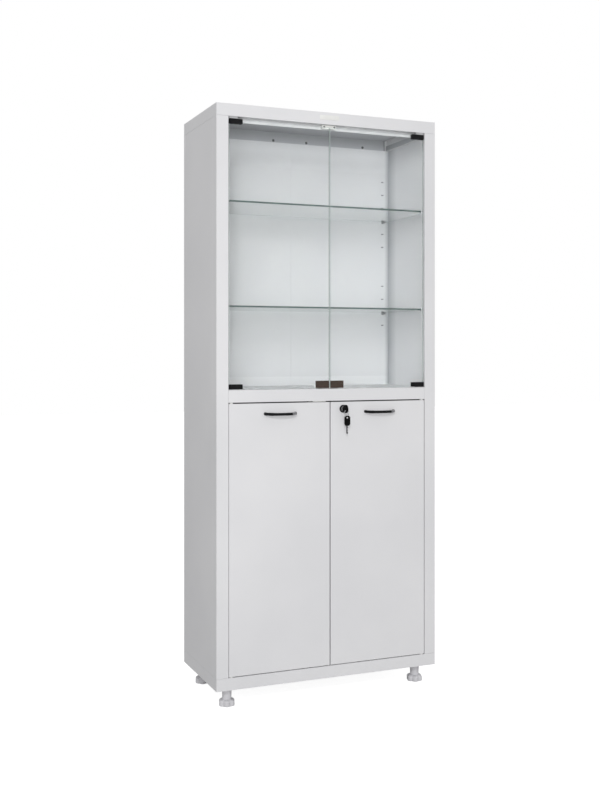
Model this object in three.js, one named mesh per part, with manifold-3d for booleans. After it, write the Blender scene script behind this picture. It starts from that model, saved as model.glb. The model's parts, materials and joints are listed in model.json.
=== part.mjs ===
// Two-leaf medical cabinet: frameless glass doors over sheet-steel doors, on four levelling feet.
// Millimetres, +Z up, +X to the right, the doors face -Y. The floor under the feet is z = 0.
import * as THREE from "three";
import { mergeVertices } from "three/addons/utils/BufferGeometryUtils.js";
import Module from "manifold-3d";

const wasm = await Module();
wasm.setup();

// Driving dimensions of the case
const caseWidth = 700;
const caseDepth = 320;
const caseHeight = 1655;
const footHeight = 55;
const sheet = 1;
const seat = 0.3;
const edgeBand = 35;
const stileWidth = 35.5;
const returnDepth = 24;
const lipHeight = 13;
const stileFold = 22;
const rearFlange = 12;
const backInset = 11;
const upstandInset = 11;
const upstandHeight = 15;
const upstandEnd = 2;
const foldDrop = 0.2;
const deckFold = 20;
const railHeight = 35.5;
const railTopAboveCase = 846.5;

// Shelves, the slots in the walls and the hooks that hang in them
const slotPitch = 43;
const slotWidth = 10;
const slotHeight = 4;
const slotInset = 22;
const upperSlotStart = 913;
const upperSlotCount = 15;
const lowerSlotStart = 215;
const lowerSlotCount = 11;
const lowerGlassSlot = 4;
const upperGlassSlot = 11;
const steelShelfSlot = 5;
const glassShelfSideGap = 4;
const glassShelfThickness = 5;
const shelfFrontSetback = 14;
const shelfRearSetback = 4;
const shelfCorner = 4;
const steelShelfSideGap = 5;
const steelShelfDrop = 25;
const steelShelfReturn = 14;
const hookWidth = 8;
const hookLedge = 22;
const hookPlate = 2;
const hookAbove = 6;
const hookBelow = 8;
const hookTail = 5;
const hookProng = 3.2;

// Glass doors
const glassThickness = 5;
const glassSideGap = 3.5;
const glassMeetGap = 3;
const glassBottomGap = 3.5;
const glassTopGap = 8;
const glassCorner = 2;
const glassBevel = 0.6;
const bevelFloor = 0.01;
const glassPivotInset = 10;
const glassPivotDepth = 6.5;
const clipLength = 40;
const clipHeight = 14;
const clipDepth = 12;
const clipCover = 1.5;
const socketLength = 26;
const socketDepth = 11;
const strikeWidth = 41;
const strikeHeight = 20;
const strikeEdge = 1.5;
const magnetWidth = 62;
const magnetDepth = 18;
const magnetHeight = 14;
const stopWidth = 44;
const stopHeight = 11;

// Steel doors
const doorDepth = 20;
const doorSideGap = 1.5;
const doorMeetGap = 3;
const doorTopGap = 3.5;
const doorBottomGap = 2.5;
const doorBend = 2;
const doorReturn = 12;
const doorPivotInset = 8;
const doorPivotDepth = 5.5;
const hatWidth = 40;
const hatFlange = 14;
const hatDepth = 15;
const hatStart = 40;
const hatEnd = 650;
const weldDepth = 0.1;
const stripWidth = 41;
const stripInset = 38;
const stripHeight = 9;

// Pivot pins and the bushes they turn in
const pinRadius = 2.5;
const pinRun = 0.25;
const spigotRadius = 4;
const spigotDepth = 5;
const bushFlange = 5.4;

// Handles
const handleSpan = 96;
const handleReach = 25;
const handleKnee = 14;
const handleEndRadius = 6;
const handleCrown = 3;
const shoulderShare = 0.55;
const handleSteps = 24;
const handleDrop = 30;
const gripHalfHeight = 4;
const gripHalfDepth = 3.6;
const endHalfHeight = 4.4;
const endHalfDepth = 4;
const endShare = 0.15;

// Cam lock, its key, and the spare key on a ring
const lockFromMeeting = 39.5;
const lockDrop = 20.5;
const bezelRadius = 11.5;
const bezelThickness = 3;
const bezelChamfer = 1;
const barrelRadius = 8;
const lockNutRadius = 12;
const lockNutThickness = 4;
const plugRadius = 5.2;
const tailRadius = 3;
const camThickness = 2;
const camReach = 23;
const camHalfWidth = 6;
const screwHeadThickness = 2;
const keyThickness = 2;
const keyHeight = 7;
const keyShank = 3;
const keyInside = 20;
const bowRadius = 12;
const bowThickness = 3;
const bowHoleRadius = 3.2;
const bowHoleEdge = 5.5;
const ringRadius = 11;
const ringWire = 0.7;
const ringTurn = THREE.MathUtils.degToRad(30);
const ringDrop = 1.6;
const spareWidth = 17.5;
const spareHead = 29.5;
const spareCorner = 6.5;
const spareBlade = 24.5;
const spareBladeWidth = 7;
const spareBladeThickness = 1.6;
const spareRoot = 6;
const spareThickness = 2.4;
const spareHoleFromTop = 6;
const spareTurn = THREE.MathUtils.degToRad(-20);

// Levelling feet
const footInset = 46;
const footRadius = 24;
const footLobes = 6;
const footGroove = 4.5;
const footTurn = THREE.MathUtils.degToRad(12);
const footEdge = 1.5;
const footShoulder = 16;
const footWaist = 27.5;
const waistRadius = 13;
const neckRadius = 14;
const studRadius = 4.9;
const studRise = 14;
const weldNutRadius = 9;
const weldNutHeight = 9;

// How finely round forms are divided
const hexSides = 6;
const studSides = 12;
const pinSides = 16;
const rodSides = 20;
const bowSides = 32;
const wireSides = 6;
const ringSides = 24;
const curveSteps = 6;
const cornerSteps = 3;
const bendSteps = 4;
const headSteps = 5;
const camSteps = 8;
const lobeSides = 6;
const mergeReach = 1e-4;

// Places worked out from the dimensions above
const halfWidth = caseWidth / 2;
const caseBottom = footHeight;
const caseTop = caseBottom + caseHeight;
const trayTop = caseBottom + edgeBand;
const capBottom = caseTop - edgeBand;
const railTop = caseBottom + railTopAboveCase;
const railBottom = railTop - railHeight;
const stileInner = -halfWidth + stileWidth;
const backFace = caseDepth - backInset;
const wallInner = -halfWidth + sheet;
const slotX = wallInner + slotInset;
const boreRadius = pinRadius + pinRun;
const spigotHole = spigotRadius + seat;

const glassLeft = stileInner + glassSideGap;
const glassRight = -glassMeetGap / 2;
const glassBottom = railTop + glassBottomGap;
const glassTop = capBottom - glassTopGap;
const glassPivotX = stileInner + glassPivotInset;
const glassFront = glassPivotDepth - glassThickness / 2;
const glassBack = glassPivotDepth + glassThickness / 2;

const doorLeft = stileInner + doorSideGap;
const doorRight = -doorMeetGap / 2;
const doorBottom = trayTop + doorBottomGap;
const doorTop = railBottom - doorTopGap;
const doorPivotX = doorLeft + doorPivotInset;
const doorCentre = (doorLeft + doorRight) / 2;

const lockX = doorRight - lockFromMeeting;
const lockZ = doorTop - lockDrop;
const bezelFront = -seat - bezelThickness;
const bowStart = bezelFront - keyShank;
const bowTip = bowStart - 2 * bowRadius;
const ringY = bowTip + bowHoleEdge;
const ringReach = ringRadius * Math.sin(ringTurn) + ringWire - ringY;
const frontReach = Math.max(-bowTip, handleReach + gripHalfDepth, ringReach);
const camFront = returnDepth + 2 * seat;
const camBack = camFront + camThickness;

const upperSlots = slotHeights(caseBottom + upperSlotStart, upperSlotCount);
const lowerSlots = slotHeights(caseBottom + lowerSlotStart, lowerSlotCount);

// Materials
const whitePaint = paint(0xe6e8e9, 0.45, 0);
const clearGlass = paint(0xdcebe6, 0.05, 0);
const darkPlastic = paint(0x1d1d1f, 0.4, 0);
const bronzePlate = paint(0x4a3a30, 0.4, 0.4);
const chrome = paint(0xd9dbdd, 0.15, 1);
const greyPlastic = paint(0xb9bcbe, 0.5, 0);
const whitePlastic = paint(0xeeeeec, 0.5, 0);
const zincSteel = paint(0xa9abad, 0.35, 0.9);

function paint(color, roughness, metalness) {
  return new THREE.MeshStandardMaterial({ color, roughness, metalness });
}

function slotHeights(first, count) {
  return Array.from({ length: count }, (_, index) => first + index * slotPitch);
}

// Joining and cutting of closed geometries

function solidOf(geometry) {
  const bare = geometry.index ? geometry.toNonIndexed() : geometry.clone();
  bare.deleteAttribute("normal");
  bare.deleteAttribute("uv");
  const merged = mergeVertices(bare, mergeReach);
  const vertProperties = merged.attributes.position.array;
  const triVerts = new Uint32Array(merged.index.array);
  return new wasm.Manifold(new wasm.Mesh({ numProp: 3, vertProperties, triVerts }));
}

function geometryOf(solid) {
  const mesh = solid.getMesh();
  const geometry = new THREE.BufferGeometry();
  geometry.setAttribute("position", new THREE.BufferAttribute(mesh.vertProperties, 3));
  geometry.setIndex(new THREE.BufferAttribute(mesh.triVerts, 1));
  geometry.computeVertexNormals();
  return geometry;
}

function shaped(pieces, cuts = []) {
  let solid = solidOf(pieces[0]);
  for (const piece of pieces.slice(1)) {
    solid = solid.add(solidOf(piece));
  }
  for (const tool of cuts) {
    solid = solid.subtract(solidOf(tool));
  }
  return geometryOf(solid);
}

// Basic forms

// A box between exact limits, so that faces of different boxes fall in one plane.
function block(x0, x1, y0, y1, z0, z1) {
  const box = new THREE.BoxGeometry(1, 1, 1);
  const corners = box.attributes.position;
  for (let index = 0; index < corners.count; index += 1) {
    const x = corners.getX(index) < 0 ? x0 : x1;
    const y = corners.getY(index) < 0 ? y0 : y1;
    const z = corners.getZ(index) < 0 ? z0 : z1;
    corners.setXYZ(index, x, y, z);
  }
  return box;
}

// An upright cylinder between two heights, given in either order.
function post(radius, x, y, z0, z1, sides = pinSides) {
  const cylinder = new THREE.CylinderGeometry(radius, radius, Math.abs(z1 - z0), sides);
  return cylinder.rotateX(Math.PI / 2).translate(x, y, (z0 + z1) / 2);
}

// A cylinder that runs from front to back.
function rod(radius, x, z, y0, y1, sides = rodSides) {
  const cylinder = new THREE.CylinderGeometry(radius, radius, y1 - y0, sides);
  return cylinder.translate(x, (y0 + y1) / 2, z);
}

function outline(points) {
  return new THREE.Shape(points.map(([u, v]) => new THREE.Vector2(u, v)));
}

// A plan outline (x, y) raised from one exact height to another, with an optional small bevel.
function raised(shape, from, to, bevel = 0) {
  const body = new THREE.ExtrudeGeometry(shape, {
    depth: to - from - 2 * bevel,
    bevelEnabled: bevel > 0,
    bevelThickness: bevel,
    bevelSize: bevel,
    bevelOffset: -bevel,
    bevelSegments: 1,
    curveSegments: curveSteps,
  });
  body.translate(0, 0, from + bevel);
  const corners = body.attributes.position;
  for (let index = 0; index < corners.count; index += 1) {
    const z = corners.getZ(index);
    const end = [from, to].find((limit) => Math.abs(limit - z) < bevelFloor);
    corners.setZ(index, end ?? z);
  }
  return body;
}

// A side outline (y, z) drawn out along x.
function drawnAcross(shape, x0, x1) {
  const turn = new THREE.Matrix4().makeBasis(axis(0, 1, 0), axis(0, 0, 1), axis(1, 0, 0));
  return raised(shape, x0, x1).applyMatrix4(turn);
}

// A front outline (x, z) drawn out along y, from y0 back to y1.
function drawnBack(shape, y0, y1, bevel = 0) {
  const turn = new THREE.Matrix4().makeBasis(axis(1, 0, 0), axis(0, 0, 1), axis(0, -1, 0));
  return raised(shape, -y1, -y0, bevel).applyMatrix4(turn);
}

function ascending(a, b) {
  return a < b ? [a, b] : [b, a];
}

function axis(x, y, z) {
  return new THREE.Vector3(x, y, z);
}

// The section of a folded sheet: a path along its outer face, thickened to the path's left.
// A negative thickness goes to the right.
function folded(path, thickness) {
  const points = path.map(([u, v]) => new THREE.Vector2(u, v));
  const normals = points.slice(1).map((point, index) => {
    const run = point.clone().sub(points[index]).normalize();
    return new THREE.Vector2(-run.y, run.x);
  });
  const inner = points.map((point, index) => {
    const before = normals[Math.max(index - 1, 0)];
    const after = normals[Math.min(index, normals.length - 1)];
    const mitre = before.clone().add(after).multiplyScalar(thickness / (1 + before.dot(after)));
    return point.clone().add(mitre);
  });
  return new THREE.Shape([...points, ...inner.reverse()]);
}

function arc(x, y, radius, from, to, steps) {
  return Array.from({ length: steps + 1 }, (_, index) => {
    const angle = from + ((to - from) * index) / steps;
    return [x + radius * Math.cos(angle), y + radius * Math.sin(angle)];
  });
}

function roundedRectangle(x0, x1, y0, y1, radius, steps = cornerSteps) {
  const quarter = Math.PI / 2;
  return outline([
    ...arc(x1 - radius, y0 + radius, radius, -quarter, 0, steps),
    ...arc(x1 - radius, y1 - radius, radius, 0, quarter, steps),
    ...arc(x0 + radius, y1 - radius, radius, quarter, 2 * quarter, steps),
    ...arc(x0 + radius, y0 + radius, radius, 2 * quarter, 3 * quarter, steps),
  ]);
}

// Case panels: each is built for the left side or about the centre line

function slotCuts(heights, x, y) {
  const half = slotWidth / 2;
  const rise = slotHeight / 2;
  return heights.map((z) => block(x - half, x + half, y - 2 * sheet, y + 2 * sheet, z - rise, z + rise));
}

function sidePanel() {
  const outer = -halfWidth;
  const plan = folded(
    [
      [stileInner - stileFold, returnDepth],
      [stileInner, returnDepth],
      [stileInner, 0],
      [outer, 0],
      [outer, caseDepth],
      [outer + rearFlange, caseDepth],
    ],
    -sheet,
  );
  const bottom = trayTop + seat;
  const top = capBottom - seat;
  const root = outer + sheet / 2;
  const inner = outer + upstandInset - sheet;
  const topFlange = top - foldDrop;
  const bottomFlange = bottom + foldDrop;
  const topEdge = folded([[root, topFlange], [inner, topFlange], [inner, capBottom + upstandHeight]], -sheet);
  const bottomEdge = folded(
    [[root, bottomFlange], [inner, bottomFlange], [inner, trayTop - upstandHeight]],
    sheet,
  );
  const front = returnDepth + upstandEnd;
  const back = backFace - upstandEnd;
  return shaped(
    [raised(plan, bottom, top), drawnBack(topEdge, front, back), drawnBack(bottomEdge, front, back)],
    slotCuts([...upperSlots, ...lowerSlots], slotX, returnDepth - sheet / 2),
  );
}

function spigotCut(x, y, z) {
  return post(spigotHole, x, y, z - 2 * sheet, z + 2 * sheet);
}

// The tray that closes each end of the case: a flat sheet with a skirt all round, whose front
// skirt folds back and ends in a lip between the stiles. Drawn as the bottom tray.
function edgeTray(pivotX, pivotY, extraPieces, extraCuts) {
  const top = edgeBand;
  const lipTop = top + lipHeight;
  const lipEnd = -stileInner - seat;
  const inside = outline([
    [sheet, sheet],
    [caseDepth - sheet, sheet],
    [caseDepth - sheet, 2 * lipTop],
    [returnDepth, 2 * lipTop],
    [returnDepth, top - sheet],
    [sheet, top - sheet],
  ]);
  const blank = block(-halfWidth, halfWidth, 0, caseDepth, 0, top);
  const lip = block(-lipEnd, lipEnd, returnDepth - sheet, 2 * returnDepth, top / 2, lipTop);
  const hollow = drawnAcross(inside, wallInner, -wallInner);
  const holes = [-1, 1].map((side) => spigotCut(side * pivotX, pivotY, top));
  const tray = shaped([blank, lip], [hollow]);
  return shaped([tray, ...extraPieces], [...holes, ...extraCuts]);
}

function topCap() {
  return edgeTray(glassPivotX, glassPivotDepth, [], []);
}

function footPlaces() {
  const x = halfWidth - footInset;
  return [
    ["front_left", -x, footInset],
    ["front_right", x, footInset],
    ["rear_left", -x, caseDepth - footInset],
    ["rear_right", x, caseDepth - footInset],
  ];
}

function bottomTray() {
  const places = footPlaces();
  const nutTop = sheet + weldNutHeight;
  const nuts = places.map(([, x, y]) => post(weldNutRadius, x, y, sheet / 2, nutTop, hexSides));
  const bore = studRadius + seat;
  const bores = places.map(([, x, y]) => post(bore, x, y, -sheet, 2 * weldNutHeight, studSides));
  return edgeTray(doorPivotX, doorPivotDepth, nuts, bores);
}

// The deck between the two compartments: a notched blank, hollow below, whose front edge is the
// middle rail with its own return and lip.
function middleShelf() {
  const railEnd = -stileInner - seat;
  const deckEnd = -wallInner - seat;
  const deckFront = returnDepth + seat;
  const deckBack = backFace - seat;
  const lipBottom = railBottom - lipHeight;
  const plan = outline([
    [-railEnd, 0],
    [railEnd, 0],
    [railEnd, deckFront],
    [deckEnd, deckFront],
    [deckEnd, deckBack],
    [-deckEnd, deckBack],
    [-deckEnd, deckFront],
    [-railEnd, deckFront],
  ]);
  const hollowEnd = deckEnd - sheet;
  const cuts = [
    block(-caseWidth, caseWidth, -sheet, returnDepth - sheet, 0, railBottom),
    block(-caseWidth, caseWidth, returnDepth, caseDepth, 0, railTop - deckFold),
    block(-hollowEnd, hollowEnd, sheet, deckBack - sheet, railBottom + sheet, railTop - sheet),
  ];
  const holes = [-1, 1].flatMap((side) => [
    spigotCut(side * glassPivotX, glassPivotDepth, railTop),
    spigotCut(side * doorPivotX, doorPivotDepth, railBottom),
  ]);
  return shaped([raised(plan, lipBottom, railTop)], [...cuts, ...holes]);
}

function backPanel() {
  const outer = wallInner + seat;
  const inner = -seat / 2;
  const rear = caseDepth - sheet - seat;
  const plan = folded([[outer, rear], [outer, backFace], [inner, backFace], [inner, rear]], sheet);
  const bottom = trayTop + seat;
  const top = capBottom - seat;
  const root = backFace + sheet / 2;
  const stand = rear - sheet - foldDrop;
  const topFlange = top - foldDrop;
  const bottomFlange = bottom + foldDrop;
  const topEdge = folded([[root, topFlange], [stand, topFlange], [stand, capBottom + upstandHeight]], -sheet);
  const bottomEdge = folded(
    [[root, bottomFlange], [stand, bottomFlange], [stand, trayTop - upstandHeight]],
    sheet,
  );
  const left = outer + sheet / 2;
  const right = inner - sheet / 2;
  return shaped(
    [raised(plan, bottom, top), drawnAcross(topEdge, left, right), drawnAcross(bottomEdge, left, right)],
    slotCuts([...upperSlots, ...lowerSlots], slotX, backFace + sheet / 2),
  );
}

// Shelves and hooks

// A hook about its slot's centre: depth runs from the wall's face into the cabinet, along +Y.
function shelfHook() {
  const ledgeTop = -glassShelfThickness / 2 - seat;
  const face = seat;
  const plate = seat + hookPlate;
  const behind = -sheet - seat;
  const half = hookProng / 2;
  const side = outline([
    [face, hookAbove],
    [face, half],
    [behind - hookPlate, half],
    [behind - hookPlate, -hookTail],
    [behind, -hookTail],
    [behind, -half],
    [face, -half],
    [face, -hookBelow],
    [plate, -hookBelow],
    [hookLedge, ledgeTop - hookPlate],
    [hookLedge, ledgeTop],
    [plate, ledgeTop],
    [plate, hookAbove],
  ]);
  return drawnAcross(side, -hookWidth / 2, hookWidth / 2);
}

function glassShelf(z) {
  const half = -wallInner - glassShelfSideGap;
  const front = returnDepth + shelfFrontSetback;
  const back = backFace - shelfRearSetback;
  const plan = roundedRectangle(-half, half, front, back, shelfCorner);
  return raised(plan, z - glassShelfThickness / 2, z + glassShelfThickness / 2, glassBevel);
}

function steelShelf(z) {
  const half = -wallInner - steelShelfSideGap;
  const front = returnDepth + shelfFrontSetback;
  const back = backFace - shelfRearSetback;
  const bottom = z - glassShelfThickness / 2;
  const top = bottom + steelShelfDrop;
  const side = folded(
    [
      [front + steelShelfReturn, bottom],
      [front, bottom],
      [front, top],
      [back, top],
      [back, bottom],
      [back - steelShelfReturn, bottom],
    ],
    -sheet,
  );
  return drawnAcross(side, -half, half);
}

// Glass doors, drawn for the left leaf

function glassLeaf() {
  const front = roundedRectangle(glassLeft, glassRight, glassBottom, glassTop, glassCorner);
  return drawnBack(front, glassFront, glassBack, glassBevel);
}

// A clamp on a corner of the glass, with the pin that the leaf turns on. The direction is +1 for
// the top corner and -1 for the bottom one.
function glassClip(direction) {
  const edge = direction > 0 ? glassTop : glassBottom;
  const outerZ = edge + direction * clipCover;
  const innerZ = outerZ - direction * clipHeight;
  const [low, high] = ascending(outerZ, innerZ);
  const left = glassLeft - clipCover / 2;
  const front = glassPivotDepth - clipDepth / 2;
  const back = glassPivotDepth + clipDepth / 2;
  const body = drawnBack(roundedRectangle(left, left + clipLength, low, high, clipCover), front, back);
  const [grooveLow, grooveHigh] = ascending(edge + direction * seat, innerZ - direction * clipCover);
  const groove = block(
    glassLeft - seat,
    left + 2 * clipLength,
    glassFront - seat,
    glassBack + seat,
    grooveLow,
    grooveHigh,
  );
  const seatZ = direction > 0 ? capBottom : railTop;
  const pinEnd = seatZ + direction * spigotDepth;
  const root = edge + (direction * (clipCover + seat)) / 2;
  const pin = post(pinRadius, glassPivotX, glassPivotDepth, root, pinEnd);
  return shaped([body, pin], [groove]);
}

// The fixed half of a glass hinge: a plate on the case with a spigot through the sheet.
function glassSocket(direction) {
  const seatZ = direction > 0 ? capBottom : railTop;
  const edge = direction > 0 ? glassTop : glassBottom;
  const near = edge + direction * (clipCover + seat);
  const far = seatZ - direction * seat;
  const end = seatZ + direction * spigotDepth;
  const left = glassLeft - clipCover / 2;
  const front = glassPivotDepth - socketDepth / 2;
  const back = glassPivotDepth + socketDepth / 2;
  const [low, high] = ascending(near, far);
  const plate = raised(roundedRectangle(left, left + socketLength, front, back, clipCover), low, high);
  const root = (near + far) / 2;
  const spigot = post(spigotRadius, glassPivotX, glassPivotDepth, root, end);
  const through = direction * sheet;
  const bore = post(boreRadius, glassPivotX, glassPivotDepth, near - through, end + through);
  return shaped([plate, spigot], [bore]);
}

// A folded plate over the lower free corner of the leaf, for the magnet behind it.
function strikePlate() {
  const right = glassRight - strikeEdge;
  const top = glassBottom + strikeHeight;
  const bottom = glassBottom - seat - sheet;
  const front = glassFront - seat - sheet;
  const back = glassBack + seat + sheet;
  const side = folded([[front, top], [front, bottom], [back, bottom], [back, top]], sheet);
  return drawnAcross(side, right - strikeWidth, right);
}

function glassMagnet() {
  const front = glassBack + seat + sheet + seat;
  const bottom = railTop + seat;
  const half = magnetWidth / 2;
  const side = roundedRectangle(front, front + magnetDepth, bottom, bottom + magnetHeight, clipCover);
  return drawnAcross(side, -half, half);
}

function topStop() {
  const half = stopWidth / 2;
  const top = capBottom - seat;
  const front = glassBack + seat;
  const back = returnDepth - sheet - seat;
  const side = roundedRectangle(front, back, top - stopHeight, top, clipCover);
  return drawnAcross(side, -half, half);
}

// Steel doors, drawn for the left leaf

// The plan of the leaf, set in from its faces by a margin, with its rear edge as given points.
function doorPlan(margin, rear) {
  const quarter = Math.PI / 2;
  const radius = doorBend - margin;
  return outline([
    ...rear,
    ...arc(doorLeft + doorBend, doorBend, radius, 2 * quarter, 3 * quarter, bendSteps),
    ...arc(doorRight - doorBend, doorBend, radius, 3 * quarter, 4 * quarter, bendSteps),
  ]);
}

function steelDoor(cuts) {
  const blank = doorPlan(0, [[doorRight, doorDepth], [doorLeft, doorDepth]]);
  const flangeFace = doorDepth - sheet;
  const inside = doorPlan(sheet, [
    [doorRight - sheet, flangeFace],
    [doorRight - doorReturn, flangeFace],
    [doorRight - doorReturn, 2 * doorDepth],
    [doorLeft + doorReturn, 2 * doorDepth],
    [doorLeft + doorReturn, flangeFace],
    [doorLeft + sheet, flangeFace],
  ]);
  const half = hatWidth / 2;
  const foot = 2 * sheet - weldDepth;
  const hat = folded(
    [
      [doorCentre - half - hatFlange, foot],
      [doorCentre - half, foot],
      [doorCentre - half, hatDepth],
      [doorCentre + half, hatDepth],
      [doorCentre + half, foot],
      [doorCentre + half + hatFlange, foot],
    ],
    -sheet,
  );
  const pinTop = doorTop + doorTopGap + spigotDepth;
  const pinBottom = doorBottom - doorBottomGap - spigotDepth;
  const pan = shaped(
    [raised(blank, doorBottom, doorTop)],
    [raised(inside, doorBottom + sheet, doorTop - sheet)],
  );
  return shaped(
    [
      pan,
      raised(hat, doorBottom + hatStart, doorBottom + hatEnd),
      post(pinRadius, doorPivotX, doorPivotDepth, doorTop - sheet / 2, pinTop),
      post(pinRadius, doorPivotX, doorPivotDepth, pinBottom, doorBottom + sheet / 2),
    ],
    cuts,
  );
}

// A flanged bush in the rail above the door or in the tray under it.
function doorBush(direction) {
  const seatZ = direction > 0 ? railBottom : trayTop;
  const edge = direction > 0 ? doorTop : doorBottom;
  const near = edge + direction * seat;
  const far = seatZ - direction * seat;
  const end = seatZ + direction * spigotDepth;
  const root = (near + far) / 2;
  const through = direction * sheet;
  const flange = post(bushFlange, doorPivotX, doorPivotDepth, near, far);
  const spigot = post(spigotRadius, doorPivotX, doorPivotDepth, root, end);
  const bore = post(boreRadius, doorPivotX, doorPivotDepth, near - through, end + through);
  return shaped([flange, spigot], [bore]);
}

// A magnet strip on the rail's lip, which holds the leaf that has no lock.
function magnetStrip() {
  const right = doorRight - stripInset + stripWidth / 2;
  const top = railBottom - seat;
  const front = doorDepth + seat;
  const back = returnDepth - sheet - seat;
  return block(right - stripWidth, right, front, back, top - stripHeight, top);
}

// Handles: a bow over the door, a dark grip between two bright ends

function handleBow() {
  const half = handleSpan / 2;
  const shoulder = half * shoulderShare;
  const rise = [
    axis(-half, -seat, 0),
    axis(-half, -handleKnee / 2, 0),
    axis(-half + handleEndRadius, -handleKnee, 0),
    axis(-shoulder, -handleReach + handleCrown, 0),
  ];
  const fall = rise.map((point) => axis(-point.x, point.y, 0)).reverse();
  return new THREE.CatmullRomCurve3([...rise, axis(0, -handleReach, 0), ...fall]);
}

// A stretch of a longer curve, as shares of its length.
class Stretch extends THREE.Curve {
  constructor(whole, from, to) {
    super();
    this.whole = whole;
    this.from = from;
    this.to = to;
  }

  getPoint(share, target) {
    return this.whole.getPointAt(this.from + (this.to - this.from) * share, target);
  }
}

function handlePiece(from, to, halfDepth, halfHeight) {
  const extrudePath = new Stretch(handleBow(), from, to);
  const steps = Math.ceil((to - from) * handleSteps);
  const section = new THREE.Shape().absellipse(0, 0, halfHeight, halfDepth, 0, 2 * Math.PI);
  return new THREE.ExtrudeGeometry(section, { extrudePath, steps, curveSegments: curveSteps });
}

// Cam lock and keys, about the lock's own axis, which runs along Y

function revolved(profile) {
  const points = [...profile, profile[0]].map(([radius, y]) => new THREE.Vector2(radius, y));
  return new THREE.LatheGeometry(points, rodSides);
}

function lockBody() {
  const bore = plugRadius + seat;
  const back = returnDepth - seat;
  return revolved([
    [bore, back],
    [bore, bezelFront],
    [bezelRadius - bezelChamfer, bezelFront],
    [bezelRadius, bezelFront + bezelChamfer],
    [bezelRadius, -seat],
    [barrelRadius, -seat],
    [barrelRadius, back],
  ]);
}

// The nut that clamps the lock against the back of the door's sheet.
function lockNut() {
  const front = sheet + seat;
  const back = front + lockNutThickness;
  const bore = rod(barrelRadius + seat, 0, 0, front - sheet, back + sheet);
  return shaped([rod(lockNutRadius, 0, 0, front, back, hexSides)], [bore]);
}

function lockPlug() {
  const front = bezelFront - seat;
  const slotDepth = keyInside + 2 * seat;
  const halfSlot = keyThickness / 2 + seat;
  const halfHeight = keyHeight / 2 + seat;
  return shaped(
    [
      rod(plugRadius, 0, 0, front, camFront - seat),
      rod(tailRadius, 0, 0, camFront - 2 * seat, camBack + screwHeadThickness),
      rod(plugRadius, 0, 0, camBack + seat, camBack + seat + screwHeadThickness),
    ],
    [block(-halfSlot, halfSlot, front - sheet, front + slotDepth, -halfHeight, halfHeight)],
  );
}

function lockCam() {
  const quarter = Math.PI / 2;
  const plate = outline([
    ...arc(0, 0, camHalfWidth, -quarter, quarter, camSteps),
    ...arc(-camReach + camHalfWidth, 0, camHalfWidth, quarter, 3 * quarter, camSteps),
  ]);
  const bore = rod(tailRadius + seat, 0, 0, camFront - sheet, camBack + sheet);
  return shaped([drawnBack(plate, camFront, camBack)], [bore]);
}

// The key stands upright in the plug: its head is a disc in the plane of Y and Z.
function lockKey() {
  const centre = bowStart - bowRadius;
  const head = rod(bowRadius, 0, 0, -bowThickness / 2, bowThickness / 2, bowSides);
  const hole = rod(bowHoleRadius, 0, 0, -bowThickness, bowThickness, pinSides);
  const back = bezelFront - seat + keyInside;
  return shaped(
    [
      head.rotateZ(Math.PI / 2).translate(0, centre, 0),
      block(-keyThickness / 2, keyThickness / 2, centre, back, -keyHeight / 2, keyHeight / 2),
    ],
    [hole.rotateZ(Math.PI / 2).translate(0, ringY, 0)],
  );
}

function keyRing() {
  const ring = new THREE.TorusGeometry(ringRadius, ringWire, wireSides, ringSides);
  return ring.rotateX(Math.PI / 2).rotateZ(ringTurn).translate(0, ringY, -ringDrop - ringRadius);
}

function spareKey() {
  const hole = -2 * ringRadius - 2 * ringDrop;
  const top = hole + spareHoleFromTop;
  const half = spareWidth / 2;
  const bladeTop = top - spareHead;
  const halfBlade = spareBladeWidth / 2;
  const head = drawnBack(
    roundedRectangle(-half, half, bladeTop, top, spareCorner, headSteps),
    -spareThickness / 2,
    spareThickness / 2,
  );
  const blade = block(
    -halfBlade,
    halfBlade,
    -spareBladeThickness / 2,
    spareBladeThickness / 2,
    bladeTop - spareBlade,
    bladeTop + spareRoot,
  );
  const eye = rod(bowHoleRadius, 0, hole, -spareThickness, spareThickness, pinSides);
  return shaped([head, blade], [eye]).rotateZ(spareTurn).translate(0, ringY, 0);
}

// Levelling foot: a petalled grip that draws in to a round neck, with its stud up into the tray

function levellingFoot() {
  const flare = new THREE.CubicBezierCurve(
    new THREE.Vector2(footRadius, footShoulder),
    new THREE.Vector2(footRadius, (footShoulder + footWaist) / 2),
    new THREE.Vector2(waistRadius, (footShoulder + footWaist) / 2),
    new THREE.Vector2(waistRadius, footWaist),
  );
  const neckTop = footHeight - seat;
  const studTop = footHeight + studRise;
  const profile = [
    new THREE.Vector2(0, 0),
    new THREE.Vector2(footRadius - footEdge, 0),
    new THREE.Vector2(footRadius, footEdge),
    ...flare.getPoints(curveSteps),
    new THREE.Vector2(neckRadius, neckTop),
    new THREE.Vector2(studRadius, neckTop),
    new THREE.Vector2(studRadius, studTop),
    new THREE.Vector2(0, studTop),
  ];
  const foot = new THREE.LatheGeometry(profile, lobeSides * footLobes).rotateX(Math.PI / 2);
  pressGrooves(foot);
  return foot.rotateZ(footTurn);
}

// Presses a groove between each two petals, full depth in the grip and none at the waist.
function pressGrooves(foot) {
  const corners = foot.attributes.position;
  for (let index = 0; index < corners.count; index += 1) {
    const x = corners.getX(index);
    const y = corners.getY(index);
    const z = corners.getZ(index);
    const fade = THREE.MathUtils.clamp((footWaist - z) / (footWaist - footShoulder), 0, 1);
    const petal = Math.abs(Math.cos((footLobes / 2) * Math.atan2(y, x)));
    const shrink = 1 - (footGroove / footRadius) * (1 - petal) * fade;
    corners.setXYZ(index, x * shrink, y * shrink, z);
  }
}

// Assembly

const cabinet = new THREE.Group();
cabinet.position.y = (frontReach - caseDepth) / 2;
const mirrored = new THREE.Group();
mirrored.scale.x = -1;
cabinet.add(mirrored);

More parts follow.
